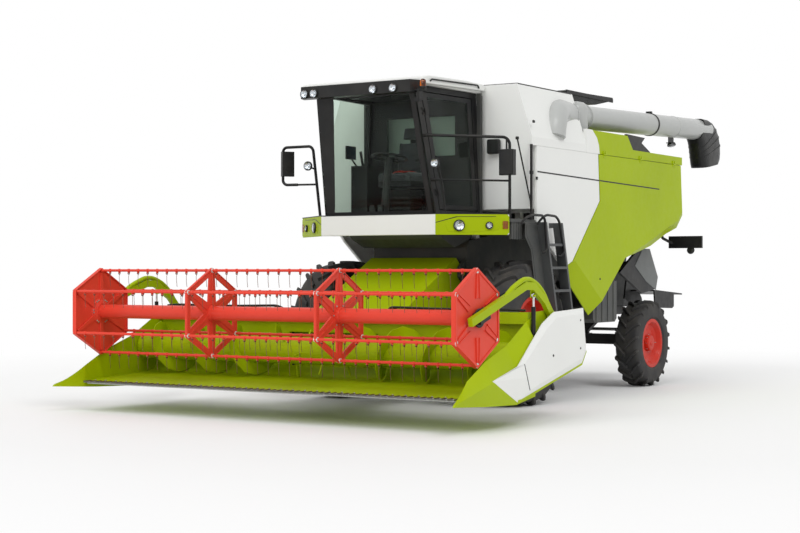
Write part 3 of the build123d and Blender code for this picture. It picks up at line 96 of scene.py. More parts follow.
class Shader:
    """A Principled material. Its colour, roughness and relief come from noise on the object's coordinates."""

    def __init__(self, name, colour, roughness, metallic=0.0):
        self.material = bpy.data.materials.new(name)
        self.material.use_nodes = True
        self.tree = self.material.node_tree
        self.bsdf = self.tree.nodes["Principled BSDF"]
        self.bsdf.inputs["Metallic"].default_value = metallic
        self.place = self.node("TexCoord").outputs["Object"]
        self.colour = self.rgb(colour)
        self.roughness = roughness
        self.height = None

    def node(self, kind, **values):
        return add_node(self.tree, kind, **values)

    def rgb(self, colour):
        made = self.node("RGB")
        made.outputs[0].default_value = (*colour, 1)
        return made.outputs[0]

    def noise(self, scale, detail, stretch=(1, 1, 1)):
        place = self.node("Mapping", Scale=stretch, Vector=self.place).outputs[0]
        return self.node("TexNoise", Scale=scale, Detail=detail, Vector=place).outputs["Fac"]

    def range(self, value, low, high, to_low=0.0, to_high=1.0):
        limits = {"From_Min": low, "From_Max": high, "To_Min": to_low, "To_Max": to_high}
        return self.node("MapRange", Value=value, **limits).outputs[0]

    def math(self, operation, first, second=0.5):
        made = self.node("Math", operation=operation)
        for socket, value in zip(made.inputs, (first, second)):
            feed(self.tree, socket, value)
        return made.outputs[0]

    def blend(self, factor, colour):
        """Mixes another colour over the one so far."""
        mix = self.node("Mix", data_type="RGBA", Factor=factor, A=self.colour, B=self.rgb(colour))
        self.colour = mix.outputs["Result"]

    def dusty(self, colour, amount, scale=3.0):
        """Dust that settles in patches, more on faces that look up."""
        normal = self.node("SeparateXYZ", Vector=self.node("NewGeometry").outputs["Normal"])
        upward = self.range(normal.outputs["Z"], -0.2, 1.0, 0.35 * amount, amount)
        patches = self.range(self.noise(scale, 6), 0.35, 0.75)
        self.blend(self.math("MULTIPLY", upward, patches), colour)

    def relief(self, source, strength, distance):
        bump = self.node("Bump", Strength=strength, Distance=distance, Height=source)
        if self.height is not None:
            feed(self.tree, bump.inputs["Normal"], self.height)
        self.height = bump.outputs["Normal"]

    def done(self, spread=0.06, **sockets):
        low = max(self.roughness - spread, 0)
        sockets["Roughness"] = self.range(self.noise(14, 5), 0.3, 0.7, low, self.roughness + spread)
        sockets["Base_Color"] = self.colour
        if self.height is not None:
            sockets["Normal"] = self.height
        for key, value in sockets.items():
            feed(self.tree, self.bsdf.inputs[key.replace("_", " ")], value)
        return self.material


DUST = srgb(176, 166, 142)


def paint(name, colour, roughness, dust, shade=0.9, coat=0.1, shine=0.2):
    """Sprayed paint: slow drift of tone, a faint orange peel and dust."""
    made = Shader(name, colour, roughness)
    darker = tuple(shade * c for c in colour)
    made.blend(made.range(made.noise(1.1, 3), 0.35, 0.75), darker)
    made.blend(made.range(made.noise(38, 2), 0.45, 0.9, 0, 0.25), darker)
    made.dusty(DUST, dust)
    made.relief(made.noise(420, 2), 0.04, 0.0006)
    return made.done(Coat_Weight=coat, Coat_Roughness=0.12, Specular_IOR_Level=shine)


def plastic(name, colour, roughness, dust=0.12):
    """Moulded plastic with a fine grain."""
    made = Shader(name, colour, roughness)
    made.blend(made.range(made.noise(5, 4), 0.4, 0.8), tuple(1.5 * c + 0.004 for c in colour))
    made.dusty(DUST, dust)
    made.relief(made.noise(900, 2), 0.12, 0.0004)
    return made.done(Specular_IOR_Level=0.3)


def metal(name, colour, roughness, stretch=(1, 1, 1), dust=0):
    made = Shader(name, colour, roughness, metallic=1.0)
    made.blend(made.range(made.noise(30, 5, stretch), 0.35, 0.7), tuple(0.72 * c for c in colour))
    if dust:
        made.dusty(DUST, dust)
    made.relief(made.noise(160, 3, stretch), 0.08, 0.0005)
    return made.done()


def rubber(name, colour, mud):
    made = Shader(name, colour, 0.78)
    made.blend(made.range(made.noise(7, 6), 0.35, 0.75), tuple(1.7 * c for c in colour))
    made.dusty(srgb(120, 112, 98), mud, 5)
    made.relief(made.noise(60, 6), 0.25, 0.0015)
    made.relief(made.noise(700, 2), 0.2, 0.0004)
    return made.done()


def clear(name, tint, roughness, ior=1.45):
    made = Shader(name, tint, roughness)
    made.blend(made.range(made.noise(2.0, 4), 0.5, 0.9, 0, 0.5), tuple(0.85 * c for c in tint))
    made.relief(made.noise(3, 2), 0.01, 0.001)
    return made.done(spread=0.01, Transmission_Weight=1.0, IOR=ior)


def woven(name, colour, pitch):
    """Cloth with warp and weft threads a few millimetres apart."""
    made = Shader(name, colour, 0.85)
    made.blend(made.range(made.noise(24, 5), 0.35, 0.7), tuple(1.8 * c for c in colour))
    for direction in ("X", "Z"):
        wave = made.node("TexWave", bands_direction=direction, Scale=1 / pitch, Vector=made.place)
        made.relief(wave.outputs["Fac"], 0.3, 0.0006)
    return made.done(Sheen_Weight=0.3, Sheen_Roughness=0.5)


def perforated(name, colour, pitch):
    """Sheet with a square grid of holes, which show lower and are darkened by painted shade."""
    made = Shader(name, colour, 0.6)
    places = made.node("SeparateXYZ", Vector=made.place).outputs
    waves = [made.math("SINE", made.math("MULTIPLY", place, 2 * pi / pitch)) for place in places]
    across = made.math("MULTIPLY", waves[0], made.math("MAXIMUM", waves[1], waves[2]))
    # painted shade: the holes take a fifth of the sheet's colour, for the shade behind them
    made.blend(made.range(across, 0.1, 0.35), tuple(0.2 * c for c in colour))
    made.relief(made.range(across, 0.1, 0.35, 1, 0), 0.5, 0.002)
    return made.done()


WHITE = srgb(228, 229, 226)
materials = {
    "lime": paint("lime_paint", srgb(160, 180, 2), 0.42, 0.02, coat=0, shine=0.12),
    "body_white": paint("white_paint", WHITE, 0.34, 0.025, shade=0.975, coat=0.15),
    "header_white": paint("header_white_paint", WHITE, 0.34, 0.03, shade=0.97, coat=0.15),
    "reel_red": paint("reel_red_paint", srgb(222, 66, 48), 0.42, 0.03),
    "rim_red": paint("rim_red_paint", srgb(196, 40, 20), 0.45, 0.08),
    "frame_black": paint("frame_black_paint", srgb(22, 23, 25), 0.46, 0.07),
    # partly painted shade: the housing's grey is made darker for the shade it stands in under the body
    "housing_grey": paint("housing_grey_paint", srgb(62, 64, 64), 0.5, 0.2, coat=0),
    "side_grey": paint("side_grey_paint", srgb(74, 76, 76), 0.48, 0.15, coat=0),
    "auger_grey": paint("auger_grey_paint", srgb(172, 174, 172), 0.34, 0.04, shade=0.95, coat=0.25),
    "screen_dark": perforated("screen_mesh", srgb(46, 48, 48), 0.012),
    "bare_steel": metal("bare_steel_worn", srgb(186, 187, 184), 0.36, (1, 12, 1)),
    "rod_chrome": metal("rod_chrome_plated", srgb(225, 226, 228), 0.1),
    "engine_iron": metal("engine_cast_iron", srgb(92, 92, 94), 0.62, dust=0.3),
    "black_plastic": plastic("black_plastic_grained", srgb(15, 16, 17), 0.4, dust=0.05),
    "tinted_glass": clear("tinted_cab_glass", srgb(228, 238, 231), 0.0, 1.15),
    "seat_fabric": woven("seat_cloth", srgb(44, 45, 48), 0.004),
    "tyre_black": rubber("tyre_rubber", srgb(33, 33, 34), 0.28),
    "lamp_pale": clear("lamp_lens", srgb(240, 243, 245), 0.06),
    # looks of the scene's own, which a piece takes in place of its slot's
    "amber": clear("amber_lens", srgb(255, 128, 20), 0.12),
    "red_lens": clear("red_lamp_lens", srgb(215, 22, 18), 0.12),
    "reflector": metal("lamp_reflector", srgb(232, 234, 236), 0.16),
    "mirror": metal("mirror_silver", srgb(214, 220, 224), 0.04),
    "screen": plastic("display_face", srgb(30, 44, 56), 0.2, dust=0),
    "rubber": rubber("moulded_rubber", srgb(24, 24, 26), 0.10),
    "bearing": plastic("bearing_nylon", srgb(196, 198, 194), 0.45),
    "spring_steel": metal("spring_steel_dark", srgb(132, 92, 78), 0.42, dust=0.05),
    "plate_grey": paint("plate_grey_paint", srgb(104, 107, 106), 0.42, 0.05),
    "ladder_grey": paint("ladder_grey_paint", srgb(74, 76, 77), 0.42, 0.05),
}
for entry in frame["record"]["subparts"]:
    look = "ladder_grey" if entry["node"] == "ladder" else entry["material_slot"]
    slots = frame["nodes"][entry["node"]].data.materials
    slots.clear()
    slots.append(materials[look])


# Shapes: each is (corners, faces) in drawing millimetres

def hull(rings, loop=False):
    """A closed solid through rings of corners, capped at both ends or led back to the first ring."""
    sides, count = len(rings[0]), len(rings)
    last = (count - 1) * sides
    faces = [] if loop else [tuple(range(sides)), tuple(range(last + sides - 1, last - 1, -1))]
    for ring in range(count if loop else count - 1):
        a, b = ring * sides, (ring + 1) % count * sides
        faces += [(a + k, a + (k + 1) % sides, b + (k + 1) % sides, b + k) for k in range(sides)]
    return [corner for ring in rings for corner in ring], faces


def prism(axis, outline, low, high):
    """Straight between two places on an axis. Outline points take the other two axes in their own order."""
    k = "xyz".index(axis)
    return hull([[(*point[:k], place, *point[k:]) for point in outline] for place in (low, high)])


def block(left, right, front, back, low, high):
    return prism("z", [(left, front), (right, front), (right, back), (left, back)], low, high)


def circle(centre, radius, side, up, sides, turn=0.0):
    angles = [2 * pi * k / sides + turn for k in range(sides)]
    return [tuple(centre + radius * (side * cos(a) + up * sin(a))) for a in angles]


def lathe(start, direction, profile, sides=32, turn=0.0):
    """Turned about a line: the profile gives (distance along, radius). A radius of 0 closes an end."""
    along = Vector(direction).normalized()
    side = along.orthogonal().normalized()
    if abs(along.x) < 0.9:
        side = along.cross(Vector(X)).normalized()
    up = along.cross(side)
    corners, rings = [], []
    closed = profile[0] == profile[-1]
    for distance, radius in profile[:-1] if closed else profile:
        centre = Vector(start) + along * distance
        if radius == 0:
            rings.append([len(corners)] * sides)
            corners.append(tuple(centre))
        else:
            rings.append(list(range(len(corners), len(corners) + sides)))
            corners += circle(centre, radius, side, up, sides, turn)
    if closed:
        rings.append(rings[0])
    faces = []
    for a, b in zip(rings, rings[1:]):
        for i in range(sides):
            j = (i + 1) % sides
            faces.append(tuple(dict.fromkeys((a[i], a[j], b[j], b[i]))))
    if not closed:
        faces += [tuple(ring) for ring in (rings[0], rings[-1]) if len(set(ring)) > 1]
    return corners, [face for face in faces if len(face) > 2]


def rounded(points, bend, steps=6):
    """The same run of points with its inner corners rounded off."""
    points = [Vector(p) for p in points]
    run = [points[0]]
    for before, corner, after in zip(points, points[1:], points[2:]):
        back, ahead = before - corner, after - corner
        reach = min(bend, 0.45 * back.length, 0.45 * ahead.length)
        first, last = corner + back.normalized() * reach, corner + ahead.normalized() * reach
        for step in range(steps + 1):
            t = step / steps
            run.append(first * (1 - t) ** 2 + corner * 2 * t * (1 - t) + last * t ** 2)
    return run + [points[-1]]


def tube(points, radius, bend=0, sides=12):
    """A round bar along a run of points."""
    run = rounded(points, bend) if bend else [Vector(p) for p in points]
    side = (run[1] - run[0]).normalized().orthogonal().normalized()
    rings = []
    for index, centre in enumerate(run):
        before, after = run[max(index - 1, 0)], run[min(index + 1, len(run) - 1)]
        ahead = (after - before).normalized()
        side = (side - ahead * side.dot(ahead)).normalized()
        rings.append(circle(centre, radius, side, ahead.cross(side), sides))
    return hull(rings)


def bolt(place, direction, radius, height):
    """A hexagon head on its washer."""
    return lathe(place, direction, [
        (0, 1.5 * radius), (1.5, 1.5 * radius), (1.6, radius), (height, radius), (height + 1.5, 0.8 * radius),
    ], 6)


def mirrored(shapes):
    return [([(-x, y, z) for x, y, z in corners], [f[::-1] for f in faces]) for corners, faces in shapes]


def pair(shapes):
    """The shapes and their mirror images on the right."""
    return shapes + mirrored(shapes)


SIDES = (("left", list), ("right", mirrored))


def at(x, y, z):
    """A drawing place in the frame's metres."""
    return Vector((x / 1000, y / 1000 + AXLE_Y, z / 1000))


def linked(name, data):
    obj = bpy.data.objects.new(name, data)
    bpy.context.collection.objects.link(obj)
    return obj


def piece(name, slot, shapes, body="chassis", bevel=0, look=None, segments=2, sharp=35):
    """One object of closed shapes on a body, with the record's slot, or a look of its own, as its finish."""
    mesh = bpy.data.meshes.new(name)
    bm = bmesh.new()
    for corners, faces in shapes:
        made = [bm.verts.new(at(*corner)) for corner in corners]
        for face in faces:
            bm.faces.new([made[i] for i in face])
    bmesh.ops.recalc_face_normals(bm, faces=bm.faces)
    for face in bm.faces:
        face.smooth = True
    for edge in bm.edges:
        edge.smooth = edge.calc_face_angle(0) < radians(sharp)
    bm.to_mesh(mesh)
    bm.free()
    obj = linked(name, mesh)
    mesh.materials.append(materials[look or slot])
    if bevel:
        edge_round(obj, bevel, segments)
    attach(obj, body)
    return obj


def edge_round(obj, width, segments=2):
    """Breaks the sharp edges, as sheet and castings have them."""
    bevel = obj.modifiers.new("edges", "BEVEL")
    bevel.width = width / 1000
    bevel.segments = segments
    bevel.limit_method = "ANGLE"
    bevel.angle_limit = radians(38)
    bevel.use_clamp_overlap = True


# Wheels: a rounded carcass with curved lugs in place of the flat-faced solids, and a bolted cap on each hub
# name, half track, Y, radius, half width, bead radius, lugs a side, disc's outer face, cap's depth, bolts
WHEELS = (
    ("front", 1240, 0, 850, 250, 405, 20, 72, 54, 10),
    ("rear", 1145, 3740, 587, 170, 305, 18, 82, 44, 8),
)
LUG = 42


def carcass(centre, radius, half, bead):
    wall = radius - LUG - bead
    # share of the half width, height above the bead
    side = [(0.79, 2), (0.83, 14), (0.86, 30), (0.93, 48)]
    side += [(share, rise * wall) for share, rise in (
        (0.975, 0.22), (0.985, 0.24), (0.985, 0.27), (0.993, 0.30), (1.0, 0.47), (0.99, 0.64), (0.965, 0.78),
        (0.93, 0.88), (0.87, 0.945), (0.74, 0.985), (0.5, 1),
    )]
    side.append((0.2, wall + 2))
    profile = [(share * half, bead + rise) for share, rise in side]
    profile += [(-x, r) for x, r in reversed(profile)]
    return lathe(centre, X, profile + profile[:1], 80)


def lug(centre, radius, half, turn, hand):
    """A bar that leaves the middle of the tread, lags towards the shoulder and runs down it."""
    crown = radius - LUG
    # share of the half width and drop at the foot, the same at the top, lag as a share of the half width
    stations = (
        (0.02, 6, 0.02, 0, 0), (0.25, 6, 0.25, 0.5, 0.22), (0.5, 7, 0.5, 1, 0.55), (0.74, 14, 0.76, 5, 0.78),
        (0.86, 24, 0.95, 16, 0.9), (0.92, 46, 1, 52, 0.93), (0.95, 80, 1, 0.125 * radius, 0.94),
    )
    thick = radius / 850
    rings = []
    for foot_x, foot_drop, top_x, top_drop, lag in stations:
        foot, top = (foot_x, crown - foot_drop), (top_x, radius - top_drop)
        rings.append([])
        for (share, r), offset in ((foot, -34), (top, -23), (top, 23), (foot, 34)):
            angle = turn - (lag * half + offset * thick) / radius
            rings[-1].append((
                centre[0] + hand * share * half, centre[1] - r * sin(angle), centre[2] + r * cos(angle)))
    return hull(rings)


for name, track, y, radius, half, bead, lugs, face, cap, bolts in WHEELS:
    centre = (track, y, radius)
    tread = [carcass(centre, radius, half, bead)]
    for index in range(2 * lugs):
        tread.append(lug(centre, radius, half, pi * (index + 0.5) / lugs, 1 if index % 2 else -1))
    face += track
    hub = [lathe((face, y, radius), X, [
        (cap - 6, 0), (cap - 6, 90), (cap - 12, 97), (0, 97), (0, 0.37 * bead), (9, 0.37 * bead),
        (11, 0.34 * bead), (11, 112), (cap, 105), (cap + 10, 94), (cap + 12, 76), (cap + 12, 34),
        (cap + 18, 30), (cap + 18, 0),
    ], 48)]
    nuts = []
    for index in range(bolts):
        angle = 2 * pi * index / bolts
        spot = (face + 10, y + 0.325 * bead * cos(angle), radius + 0.325 * bead * sin(angle))
        nuts.append(bolt(spot, X, 13, 20))
    valve = (face - 4, y + 0.55 * bead, radius)
    nuts.append(lathe(valve, (1, 0.3, 0), [(0, 5), (30, 5), (31, 4), (48, 4)], 10))
    for side, turned in SIDES:
        body = f"wheel_{name}_{side}"
        tyre = piece(f"tyre_tread_{name}_{side}", "tyre_black", turned(tread), body, bevel=4)
        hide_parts(f"tyre_{name}_{side}")
        piece(f"hub_cap_{name}_{side}", "rim_red", turned(hub), body, bevel=2)
        piece(f"wheel_nuts_{name}_{side}", "bare_steel", turned(nuts), body)

# Reel: ribs and lips on the end plates, ribs on the spiders, collars on the tube and the bats' bearings
REEL_R, BAT_R, BAT_RING = 491, 15, 462
SPIDER_X = 840


def on_reel(radius, turn):
    return REEL_Y + radius * sin(radians(turn)), REEL_Z + radius * cos(radians(turn))


def reel_ring(x, radius, wide, thick):
    """Six bars along the sides of the hexagon."""
    inner = radius - wide
    return [prism("x", [
        on_reel(radius, turn), on_reel(radius, turn + 60), on_reel(inner, turn + 60), on_reel(inner, turn),
    ], x, x + thick) for turn in range(0, 360, 60)]


def reel_spokes(x, near, far, wide, thick, aside=0):
    spokes = []
    for turn in range(0, 360, 60):
        s, c = sin(radians(turn)), cos(radians(turn))
        outline = []
        for r, w in ((near, wide), (near, -wide), (far, -0.6 * wide), (far, 0.6 * wide)):
            w = w / 2 + aside * (1 if r == near else 0.6)
            outline.append((REEL_Y + r * s + w * c, REEL_Z + r * c - w * s))
        spokes.append(prism("x", outline, x, x + thick))
    return spokes


end_x = REEL_END_X + 10
rotor = reel_ring(end_x, REEL_R - 3, 30, 9) + reel_spokes(end_x, 190, 430, 60, 5)
for aside in (-34, 34):
    rotor += reel_spokes(end_x, 190, 430, 12, 15, aside)
rotor += reel_ring(end_x - 44, REEL_R - 1, 9, 26) + reel_spokes(end_x - 40, 100, 436, 58, 20)
rotor += [lathe((REEL_END_X - 45, REEL_Y, REEL_Z), X, [
    (0, 78), (0, 96), (8, 96), (10, 118), (35, 150), (35, 78), (0, 78)], 40)]
for x in (SPIDER_X - 17, SPIDER_X + 10):
    rotor += reel_spokes(x, 84, 440, 34, 7) + reel_ring(x, REEL_R - 2, 12, 7)
rotor += [lathe((SPIDER_X - 45, REEL_Y, REEL_Z), X, [
    (0, 77), (0, 84), (6, 86), (84, 86), (90, 84), (90, 77), (0, 77)], 40)]
piece("reel_pressings", "reel_red", pair(rotor), "reel", bevel=2)
bearings, bolts = [], []
for k in range(6):
    y, z = on_reel(BAT_RING, 60 * k)
    bearings.append(lathe((end_x, y, z), X, [(0, 26), (4, 26), (6, 22), (7, 12), (7, 0)], 24))
    for x in (SPIDER_X - 22, SPIDER_X + 10):
        bearings.append(lathe((x, y, z), X, [(0, 16), (0, 24), (12, 24), (12, 16), (0, 16)], 24))
    for turn in (60 * k + 24, 60 * k + 36):
        y, z = on_reel(132, turn)
        bolts.append(bolt((REEL_END_X - 28, y, z), (-1, 0, 0), 7, 6))
    y, z = on_reel(110, 60 * k + 30)
    bolts.append(bolt((SPIDER_X + 10, y, z), X, 7, 6))
piece("reel_bearings", "lamp_pale", pair(bearings), "reel", look="bearing")
piece("reel_bolts", "bare_steel", pair(bolts), "reel")

# Bats: the tube with a holder for each tine, and spring tines with their coils
TINE_PITCH = 140
TINES = int((2 * REEL_END_X - 200) / TINE_PITCH) + 1
TINE_LENGTH = 180
bat_long = 2 * end_x - 2
for k in range(6):
    y, z = on_reel(BAT_RING, 60 * k)
    bat = [lathe((1 - end_x, y, z), X, [(0, 0), (0, BAT_R), (bat_long, BAT_R), (bat_long, 0)], 20)]
    tines = []
    for index in range(TINES):
        x = (index - (TINES - 1) / 2) * TINE_PITCH
        bat.append(lathe((x - 15, y, z), X, [
            (0, 14), (0, 18), (2, 20), (20, 20), (22, 18), (22, 14), (0, 14)], 12))
        bat.append(block(x - 15, x + 7, y - 7, y + 9, z - 30, z - 12))
        coil = []
        for step in range(23):
            angle = 2 * pi * step / 8 + 0.5 * pi
            coil.append((x - 9 + 0.55 * step, y - 2 + 10 * cos(angle), z - 34 + 10 * sin(angle)))
        coil += [(x + 5, y - 12, z - 60), (x + 4, y - 9, z - 120), (x + 4, y, z - TINE_LENGTH)]
        tines.append(tube(coil, 2.6, sides=6))
    bar = piece(f"bat_tube_{k + 1}", "reel_red", bat, f"bat_{k + 1}")
    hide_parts(f"reel_bat_{k + 1}")
    spring = piece(f"bat_tines_{k + 1}", "bare_steel", tines, f"bat_{k + 1}", look="spring_steel")
    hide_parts(f"reel_bat_{k + 1}")


# Unloader: light tube with its rings and lamp, and a black moulded spout

AUGER_X, AUGER_Y = 1190, 1590
TUBE_START = (AUGER_X, AUGER_Y, 3512)
TUBE_RISE = 125 / 3930
tube_body = piece("unloader_tube", "auger_grey", [
    lathe((AUGER_X, AUGER_Y, 3332), Z, [
        (0, 0), (0, 175), (16, 175), (18, 166), (270, 166), (320, 152), (352, 118), (366, 60), (368, 0)], 40),
    lathe(TUBE_START, (0, 1, TUBE_RISE), [
        (0, 0), (0, 150), (186, 150), (187, 171), (200, 171), (201, 171), (214, 171), (215, 150),
        (2268, 150), (2269, 153), (2292, 153), (2293, 150), (3030, 150), (3032, 155), (3042, 155),
        (3044, 150), (4235, 150), (4282, 141), (4304, 118), (4310, 80), (4312, 0)], 44),
], "unloading_auger", bevel=2, sharp=50)
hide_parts("unloading_auger")


def duct(sections, wide, wall, sides=28):
    """A rounded square duct through (inner, outer) points in Y and Z, open at both ends."""
    rings = []
    for depth in (0, wall):
        for inner, outer in sections[::-1] if depth else sections:
            middle_y, middle_z = (inner[0] + outer[0]) / 2, (inner[1] + outer[1]) / 2
            reach_y, reach_z = (outer[0] - inner[0]) / 2, (outer[1] - inner[1]) / 2
            shrink = 1 - depth / (reach_y ** 2 + reach_z ** 2) ** 0.5
            rings.append([])
            for k in range(sides):
                angle = 2 * pi * k / sides
                c, s = (abs(v) ** 0.55 * (1 if v > 0 else -1) for v in (cos(angle), sin(angle)))
                x = AUGER_X + (wide - depth) * s
                rings[-1].append((x, middle_y + shrink * reach_y * c, middle_z + shrink * reach_z * c))
    return hull(rings, loop=True)


SPOUT = [
    ((5420, 3484), (5560, 3796)), ((5440, 3462), (5760, 3796)), ((5462, 3420), (5930, 3766)),
    ((5482, 3360), (6080, 3692)), ((5496, 3292), (6184, 3592)), ((5512, 3222), (6238, 3470)),
    ((5534, 3150), (6248, 3350)), ((5560, 3096), (6226, 3250)), ((5590, 3076), (6150, 3166)),
]
ribs = [
    duct([((y, z), (y2 + 5, z2 + 5)), ((y + 5, z - 14), (y2 + 12, z2 - 16))], 146, 14)
    for (y, z), (y2, z2) in SPOUT[3:6]
]
spout = piece("unloader_spout", "black_plastic", [duct(SPOUT, 141, 7)] + ribs, "unloading_auger", sharp=60)
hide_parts("unloading_auger")
LAMP_WAY = (0.3, -0.2, -1)
ring = [(0, 150), (0, 159), (34, 159), (34, 150), (0, 150)]
bowl = [(0, 0), (0, 40), (6, 56), (30, 62), (36, 60), (36, 0)]
lens = [(0, 0), (0, 54), (4, 52), (9, 30), (10, 0)]
clamp = [
    lathe((AUGER_X, 3850, 3584), (0, 1, TUBE_RISE), ring, 40),
    block(AUGER_X - 40, AUGER_X + 40, 3846, 3890, 3738, 3764),
    block(1214, 1224, 4460, 4640, 3368, 3452), block(1180, 1260, 4470, 4500, 3366, 3378),
    lathe((1222, 4552, 3372), LAMP_WAY, bowl, 24),
]
piece("unloader_clamp_and_lamp", "frame_black", clamp, "unloading_auger", bevel=2)
piece("unloader_lamp_lens", "lamp_pale", [lathe((1232, 4545, 3337), LAMP_WAY, lens, 24)], "unloading_auger")

# Light fairing where the tank's filling auger turns over to the unloader
piece("unloader_fairing", "auger_grey", [
    tube([(1190, 1392, 3506), (1196, 1240, 3512), (1232, 1040, 3512), (1285, 870, 3475), (1322, 750, 3395),
          (1338, 690, 3290), (1340, 670, 3190)], 172, bend=60, sides=36),
    lathe((1190, 1360, 3506), Y, [(0, 165), (0, 182), (16, 182), (16, 165), (0, 165)], 40)], bevel=2)

# Rear side covers: pressed panels folded in along their lower and rear edges
# Y and Z of a corner; where the rim is folded, how far, and Y and Z of the flat middle's corner
COVER = (
    (1740, 3035), (1780, 2450), (1020, 1690), (790, 1610, 80, 1080, 1690), (1610, 1020, 85, 1830, 1194),
    (2520, 1740), (3470, 1910, 66, 3430, 2010), (3980, 2080, 70, 3930, 2180), (4330, 2170, 60, 4250, 2265),
    (4495, 2350, 42, 4395, 2400), (4410, 3035, 28, 4340, 3035),
)
cover_face = BODY_HALF + 6


def folded(rows, face, thick):
    """A panel with its flat middle at X = face and its rim folded in, save where the two share a point."""
    count = len(rows)
    shared = [len(row) == 2 for row in rows]
    corners = [(face if len(row) == 2 else face - row[2], *row[:2]) for row in rows]
    corners += [(face, *row[-2:]) for row in rows]
    corners += [(x - thick, y, z) for x, y, z in corners]
    back = 2 * count
    faces = [[k + shift + (0 if shared[k] else count) for k in range(count)] for shift in (0, back)]
    for k in range(count):
        j = (k + 1) % count
        faces.append([k, j, j + back, k + back])
        if shared[k] and shared[j]:
            continue
        for shift in (0, back):
            ring = [k + shift, j + shift]
            ring += [] if shared[j] else [count + j + shift]
            ring += [] if shared[k] else [count + k + shift]
            faces.append(ring)
    return corners, faces


cover_parts = [folded(COVER, cover_face, 12)]
for y in (1900, 3000, 4100):
    cover_parts.append(lathe((1465, y - 40, 3038.5), Y, [(0, 0), (0, 8.5), (80, 8.5), (80, 0)], 16))
    cover_parts.append(block(1442, 1462, y - 38, y + 38, 3000, 3034))
trim = [prism("x", [(1768, 2716), (1768, 2700), (3604, 2668), (3604, 2684)], cover_face - 1, cover_face + 2),
        prism("x", [(1700, 1150), (1860, 1228), (1850, 1252), (1690, 1176)],
              cover_face - 78, cover_face - 40),
        lathe((cover_face - 2, 1767, 1471), X, [(0, 0), (0, 15), (6, 15), (8, 11), (8, 0)], 20)]
for side, turned in SIDES:
    panel = piece(f"rear_cover_panel_{side}", "lime", turned(cover_parts), f"side_cover_{side}", sharp=6)
    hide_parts(f"cover_rear_{side}")
    edge_round(panel, 2)
    piece(f"rear_cover_trim_{side}", "frame_black", turned(trim), f"side_cover_{side}", bevel=1)

# White strips over the hood's front, and the groove along the front panels
strip = [(1397, 3040), (1764, 3040), (1744, 3150), (1690, 3240), (1590, 3310), (1560, 3334), (1397, 3334)]
piece("hood_strips", "body_white", pair([prism("x", strip, BODY_HALF - 46, BODY_HALF + 4)]), bevel=2)
groove = [(100, 2746), (100, 2730), (1765, 2700), (1765, 2716)]
piece("body_grooves", "frame_black", pair([prism("x", groove, BODY_HALF - 1, BODY_HALF + 3)]), bevel=1)

# Lamps: bezels, bright bowls and clear lenses; an amber beacon


def lamp(place, direction, radius):
    """A lamp's bezel, bowl and lens."""
    return (
        lathe(place, direction, [
            (-4, radius - 9), (-4, radius + 3), (15, radius + 3), (20, radius - 1), (20, radius - 7),
            (4, radius - 9), (-4, radius - 9)], 36),
        lathe(place, direction, [
            (-2, 0), (-2, radius - 10), (15, radius - 8), (17, radius - 8), (12, 0.8 * radius - 8),
            (4, 0.45 * radius), (2, 0.2 * radius), (9, 0.17 * radius), (11, 0.1 * radius), (11, 0)], 36),
        lathe(place, direction, [
            (17, 0), (17, radius - 7), (19, radius - 8), (23, 0.5 * radius), (24, 0)], 36),
    )


def lamp_pieces(prefix, lamps, holders=()):
    bezels, bowls, lenses = zip(*lamps)
    return [
        piece(f"{prefix}_bezels", "black_plastic", [*bezels, *holders]),
        piece(f"{prefix}_bowls", "lamp_pale", bowls, look="reflector"),
        piece(f"{prefix}_lenses", "lamp_pale", lenses),
    ]


FASCIA_OUT = (0.626, -0.780, 0)
lamps = [lamp((x, -1580, 3614), (0, -1, 0.04), 52) for x in (-690, -558, 258, 526)]
for x, radius in ((1000, 62), (1270, 40)):
    y = -1110 + 0.803 * (x - 790)
    for hand in (1, -1):
        lamps.append(lamp((hand * (x + 4), y - 5, 2090), (hand * FASCIA_OUT[0], FASCIA_OUT[1], 0), radius))
parts = lamp_pieces("lamp", lamps)
BEACON = (866, -1495, 3594)
parts.append(piece("beacon_dome", "lamp_pale", [lathe(BEACON, Z, [
    (28, 0), (28, 33), (30, 34.5), (84, 34), (98, 29), (107, 18), (111, 6), (111, 0)])], look="amber"))
parts.append(piece("beacon_base", "black_plastic", [lathe(BEACON, Z, [
    (0, 0), (0, 30), (6, 36), (24, 37), (29, 35), (29, 0)])], bevel=1))
for part in parts:
    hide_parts("lamps")

# Fascia: lime ends round the lamps and an amber reflector


def fascia_plate(outline, low, high):
    """A plate on the slanted end. Its outline is (share of the end's length, height)."""
    return hull([
        [(790 + 660 * share + FASCIA_OUT[0] * out, -1110 + 530 * share + FASCIA_OUT[1] * out, z)
         for share, z in outline] for out in (low, high)])


for name, slot, look, bevel, outline, low, high in (
    ("ends", "lime", None, 2,
     [(0, 1983), (0.97, 1983), (1, 2010), (1, 2190), (0.97, 2218), (0, 2218)], -3, 4),
    ("recesses", "lime", None, 3,
     [(0.17, 2020), (0.46, 2012), (0.84, 2040), (0.87, 2090), (0.84, 2132), (0.44, 2166), (0.17, 2160),
      (0.14, 2090)], 3, 7),
    ("reflectors", "lamp_pale", "amber", 2,
     [(0.91, 2050), (0.985, 2050), (0.985, 2140), (0.91, 2140)], 3, 10),
):
    piece(f"fascia_{name}", slot, pair([fascia_plate(outline, low, high)]), bevel=bevel, look=look)

